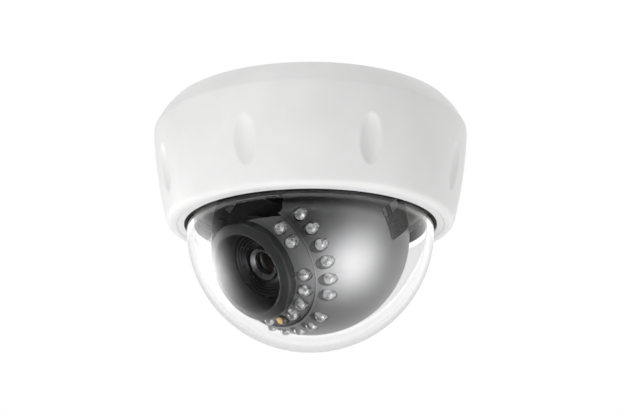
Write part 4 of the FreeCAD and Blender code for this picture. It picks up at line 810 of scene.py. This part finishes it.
# %% barrel, with its funnel of steps
STEP_WIDTH, STEP_DROP, STEP_DEPTH = 1.2, 0.35, 0.6
CREST_BACK, FOOT_BACK = 0.42, 0.84  # from a step's edge in to its crest, and to its foot
OUTER_EDGE, BARREL_FRONT = 13.1, 31.4
BARREL_RADIUS, TUBE_RADIUS, GLASS_BORE, REAR_BORE = 14.1, 13.4, 4.9, 6.0
RING_RADIUS, RING_SEAT, GLASS_SEAT = 7.0, 28.6, 27.0
barrel_corners = [(4.0, 6.0, 0), (4.0, GLASS_SEAT, 0), (GLASS_BORE, GLASS_SEAT, 0),
                  (GLASS_BORE, RING_SEAT, 0), (RING_RADIUS, RING_SEAT, 0),
                  (RING_RADIUS, 29.4, 0.05)]
for step in (3, 2, 1, 0):
    edge, level = OUTER_EDGE - step * STEP_WIDTH, BARREL_FRONT - step * STEP_DROP
    barrel_corners += [(edge - FOOT_BACK, level - STEP_DEPTH, 0.06),
                       (edge - CREST_BACK, level, 0.16), (edge, level - 0.1, 0.1)]
barrel_corners += [(BARREL_RADIUS, BARREL_FRONT, 0.1), (BARREL_RADIUS, 18.5, 0),
                   (TUBE_RADIUS, 18.5, 0), (TUBE_RADIUS, 11.8, 0), (15.0, 11.8, 0.2),
                   (15.0, 10.4, 0.2), (TUBE_RADIUS, 10.4, 0), (TUBE_RADIUS, 2.0, 0.3),
                   (REAR_BORE, 2.0, 0.3), (REAR_BORE, 6.0, 0)]
print("barrel outline:", len(barrel_corners), "corners")

# %% hood, ring and glass
HOOD_FOOT, HOOD_COLLAR = 28.0, 19.6
GLASS_RADIUS, GLASS_CURVE, GLASS_APEX = 4.88, 12.0, 29.9
hood_corners = [(BARREL_RADIUS, HOOD_FOOT, 0), (BARREL_RADIUS, BARREL_FRONT, 0.2),
                (16.0, 39.8, 0.9), (20.4, 38.3, 0.9), (HOOD_COLLAR, 34.8, 0.3),
                (HOOD_COLLAR, HOOD_FOOT, 0)]
ring_corners = [(GLASS_BORE, RING_SEAT, 0), (RING_RADIUS, RING_SEAT, 0), (RING_RADIUS, 30.1, 0.2),
                (6.5, 30.5, 0.15), (GLASS_BORE, 29.35, 0.1)]
glass_middle = GLASS_APEX - GLASS_CURVE
glass_corners = [(0, GLASS_SEAT, 0), (GLASS_RADIUS, GLASS_SEAT, 0)]
glass_corners += [(reach, glass_middle + math.sqrt(GLASS_CURVE ** 2 - reach ** 2), 0)
                  for reach in np.linspace(GLASS_RADIUS, 0, 14)]
LATHE_WORK = {"lens_barrel": (barrel_corners, 128), "lens_hood": (hood_corners, 160),
              "front_ring": (ring_corners, 96)}
lens_meshes = {}
for name, (corners, steps) in LATHE_WORK.items():
    # these outlines close on themselves, so the first corner is given again and then dropped
    outline = rounded_outline([*corners, corners[0]])[:-1]
    lens_meshes[name] = turned(f"turned_{name}", outline, steps)
lens_meshes["front_glass"] = turned("turned_front_glass", rounded_outline(glass_corners), 96,
                                    closed=False)
for mesh in lens_meshes.values():
    mesh.transform(LENS)
print("turned for the lens:", ", ".join(lens_meshes))

# %% [markdown]
# ## Pieces from the solid model
# A piece whose shape is already right keeps its mesh and only gets a better material. Some edges
# round the lens are finer than their meshes can carry: a painted shadow in the seam between eyeball
# and face with a painted highlight on the edge beside it, the dark rim of the light sensor, the
# bright bevel of the ring, and painted highlights on the crests of the funnel. They are bands of
# colour, measured from the lens axis on Object coordinates, so they stay on the piece when it
# moves.

# %% marks that run round the lens axis
# The seam gets a band of painted shadow and, beside it, a band of painted highlight.
SEAM_SHADOW, SEAM_PAINTED_HIGHLIGHT = (25.75, 26.6, 0.15), (26.6, 27.1, 1.35)
RING_BEVEL, SENSOR_RIM = (4.7, 6.45, 8.0), (1.4, 3.2, 0.03)
CREST_HALF_WIDTH, CREST_PAINTED_HIGHLIGHT = 0.13, 10.0


def ring_marks(finish, bands, centre=eye_centre):
    """Scale the colour in bands of (from, to, factor), in millimetres from a line through the
    centre that runs the way the lens points."""
    tree = finish.node_tree
    spot = add_node(tree, "ShaderNodeTexCoord")
    offset = add_node(tree, "ShaderNodeVectorMath", operation="SUBTRACT")
    tree.links.new(spot.outputs["Object"], offset.inputs[0])
    offset.inputs[1].default_value = centre
    across = add_node(tree, "ShaderNodeVectorMath", operation="CROSS_PRODUCT")
    tree.links.new(offset.outputs[0], across.inputs[0])
    across.inputs[1].default_value = lens_axis
    reach = add_node(tree, "ShaderNodeVectorMath", operation="LENGTH")
    tree.links.new(across.outputs[0], reach.inputs[0])
    scale = 1.0
    for start, end, factor in bands:
        beyond = maths(tree, "GREATER_THAN", reach.outputs["Value"], start * MM)
        short = maths(tree, "LESS_THAN", reach.outputs["Value"], end * MM)
        within = maths(tree, "MULTIPLY", beyond, short)
        scale = maths(tree, "ADD", scale, maths(tree, "MULTIPLY", within, factor - 1))
    paint = shader_of(finish).inputs["Base Color"].links[0].from_socket
    shaded = add_node(tree, "ShaderNodeVectorMath", operation="SCALE")
    tree.links.new(paint, shaded.inputs[0])
    tree.links.new(scale, shaded.inputs["Scale"])
    tree.links.new(shaded.outputs[0], shader_of(finish).inputs["Base Color"])
    print(finish.name, "has", len(bands), "marks")


crests = [OUTER_EDGE - step * STEP_WIDTH - CREST_BACK for step in range(4)]
for grey in (eyeball_grey, face_grey_painted_light):
    ring_marks(grey, [SEAM_SHADOW, SEAM_PAINTED_HIGHLIGHT])
ring_marks(amber, [SENSOR_RIM], centre=LENS @ Vector((INNER_CIRCLE * MM, 0, 0)))
ring_marks(dark_steel, [RING_BEVEL])
# Painted highlights along the crests of the funnel's steps.
ring_marks(lens_black_painted_shade_and_highlights, [(crest - CREST_HALF_WIDTH, crest + CREST_HALF_WIDTH, CREST_PAINTED_HIGHLIGHT)
                        for crest in crests])

# %% give each carried-over piece its finish
FINISH_OF = {
    "base_plate": cover_white, "ceiling_seal": rubber, "rim_seal": rubber,
    "power_board": board_black, "board_screws": zinc, "power_socket": white_nylon,
    "video_socket": white_nylon, "base_components": matt_black, "chassis_ring": cream,
    "chassis_screws": zinc,
    "cover_shell": cover_white, "dome_window": clear_dome, "dome_gasket": rubber,
    "dome_clamp_ring": cream, "clamp_screws": zinc, "turntable": cream, "pan_retainer": cream,
    "retainer_screws": zinc, "yoke": matt_black, "yoke_screws": zinc, "eyeball_shell": eyeball_grey,
    "tilt_frame": matt_black, "outer_led_board": board_black, "outer_leds": led_resin,
    "shell_screws": zinc, "pivot_screws": zinc, "tilt_lock_right": matt_black,
    "tilt_lock_left": matt_black, "module_carrier": matt_black, "roll_retainer": matt_black,
    "face_cover": face_grey_painted_light, "inner_led_board": board_black, "inner_leds": led_resin,
    "light_sensor": amber, "lens_hood": hood_grey, "lens_barrel": lens_black_painted_shade_and_highlights,
    "front_ring": dark_steel, "front_glass": lens_glass, "rear_glass": lens_glass,
    "zoom_ring": lens_black_painted_shade_and_highlights, "zoom_lever": bright_steel, "focus_ring": lens_black_painted_shade_and_highlights,
    "focus_lever": bright_steel, "sensor_holder": matt_black, "filter_carriage": matt_black,
    "infrared_filter": filter_glass, "clear_filter": filter_glass, "filter_coil": copper,
    "sensor_board": board_black, "image_sensor": face_black, "board_pillars": bright_steel,
    "main_board": board_black, "unit_screws": zinc, "main_chips": matt_black,
    "harness_socket": white_nylon, "button_case": matt_black, "button_plunger": white_nylon,
}
for name, finish in FINISH_OF.items():
    slots = frame["nodes"][name].data.materials
    slots.clear()
    slots.append(finish)
print(len(FINISH_OF), "pieces finished of", len(frame["nodes"]))

# %% [markdown]
# ## Everything in its place
# Each new piece is told which body it rides on, which piece of the solid model it stands for, and
# what kind of surface it has. The bosses, the hooks and the LED legs stand for nothing: they only
# add detail.

# %% new pieces take their places
put(cover_mesh, cover_white, "cover", "cover_shell", slot="cover_white")
put(boss_mesh, cover_white, "cover", slot="cover_white")
put(hook_mesh, cover_white, "cover", slot="cover_white")
put(dome_mesh, clear_dome, "cover", "dome_window", slot="clear_dome")
put(lens_meshes["lens_barrel"], lens_black_painted_shade_and_highlights, "module", "lens_barrel", slot="black_plastic")
put(lens_meshes["lens_hood"], hood_grey, "module", "lens_hood", slot="black_plastic")
put(lens_meshes["front_ring"], dark_steel, "module", "front_ring", slot="bright_metal")
put(lens_meshes["front_glass"], lens_glass, "module", "front_glass", slot="lens_glass")
for label, body in (("outer", "tilt"), ("inner", "module")):
    put(led_meshes[label, "resin"], led_resin, body, f"{label}_leds", slot="led_resin")
    put(led_meshes[label, "legs"], silver_plate, body, slot="bright_metal")
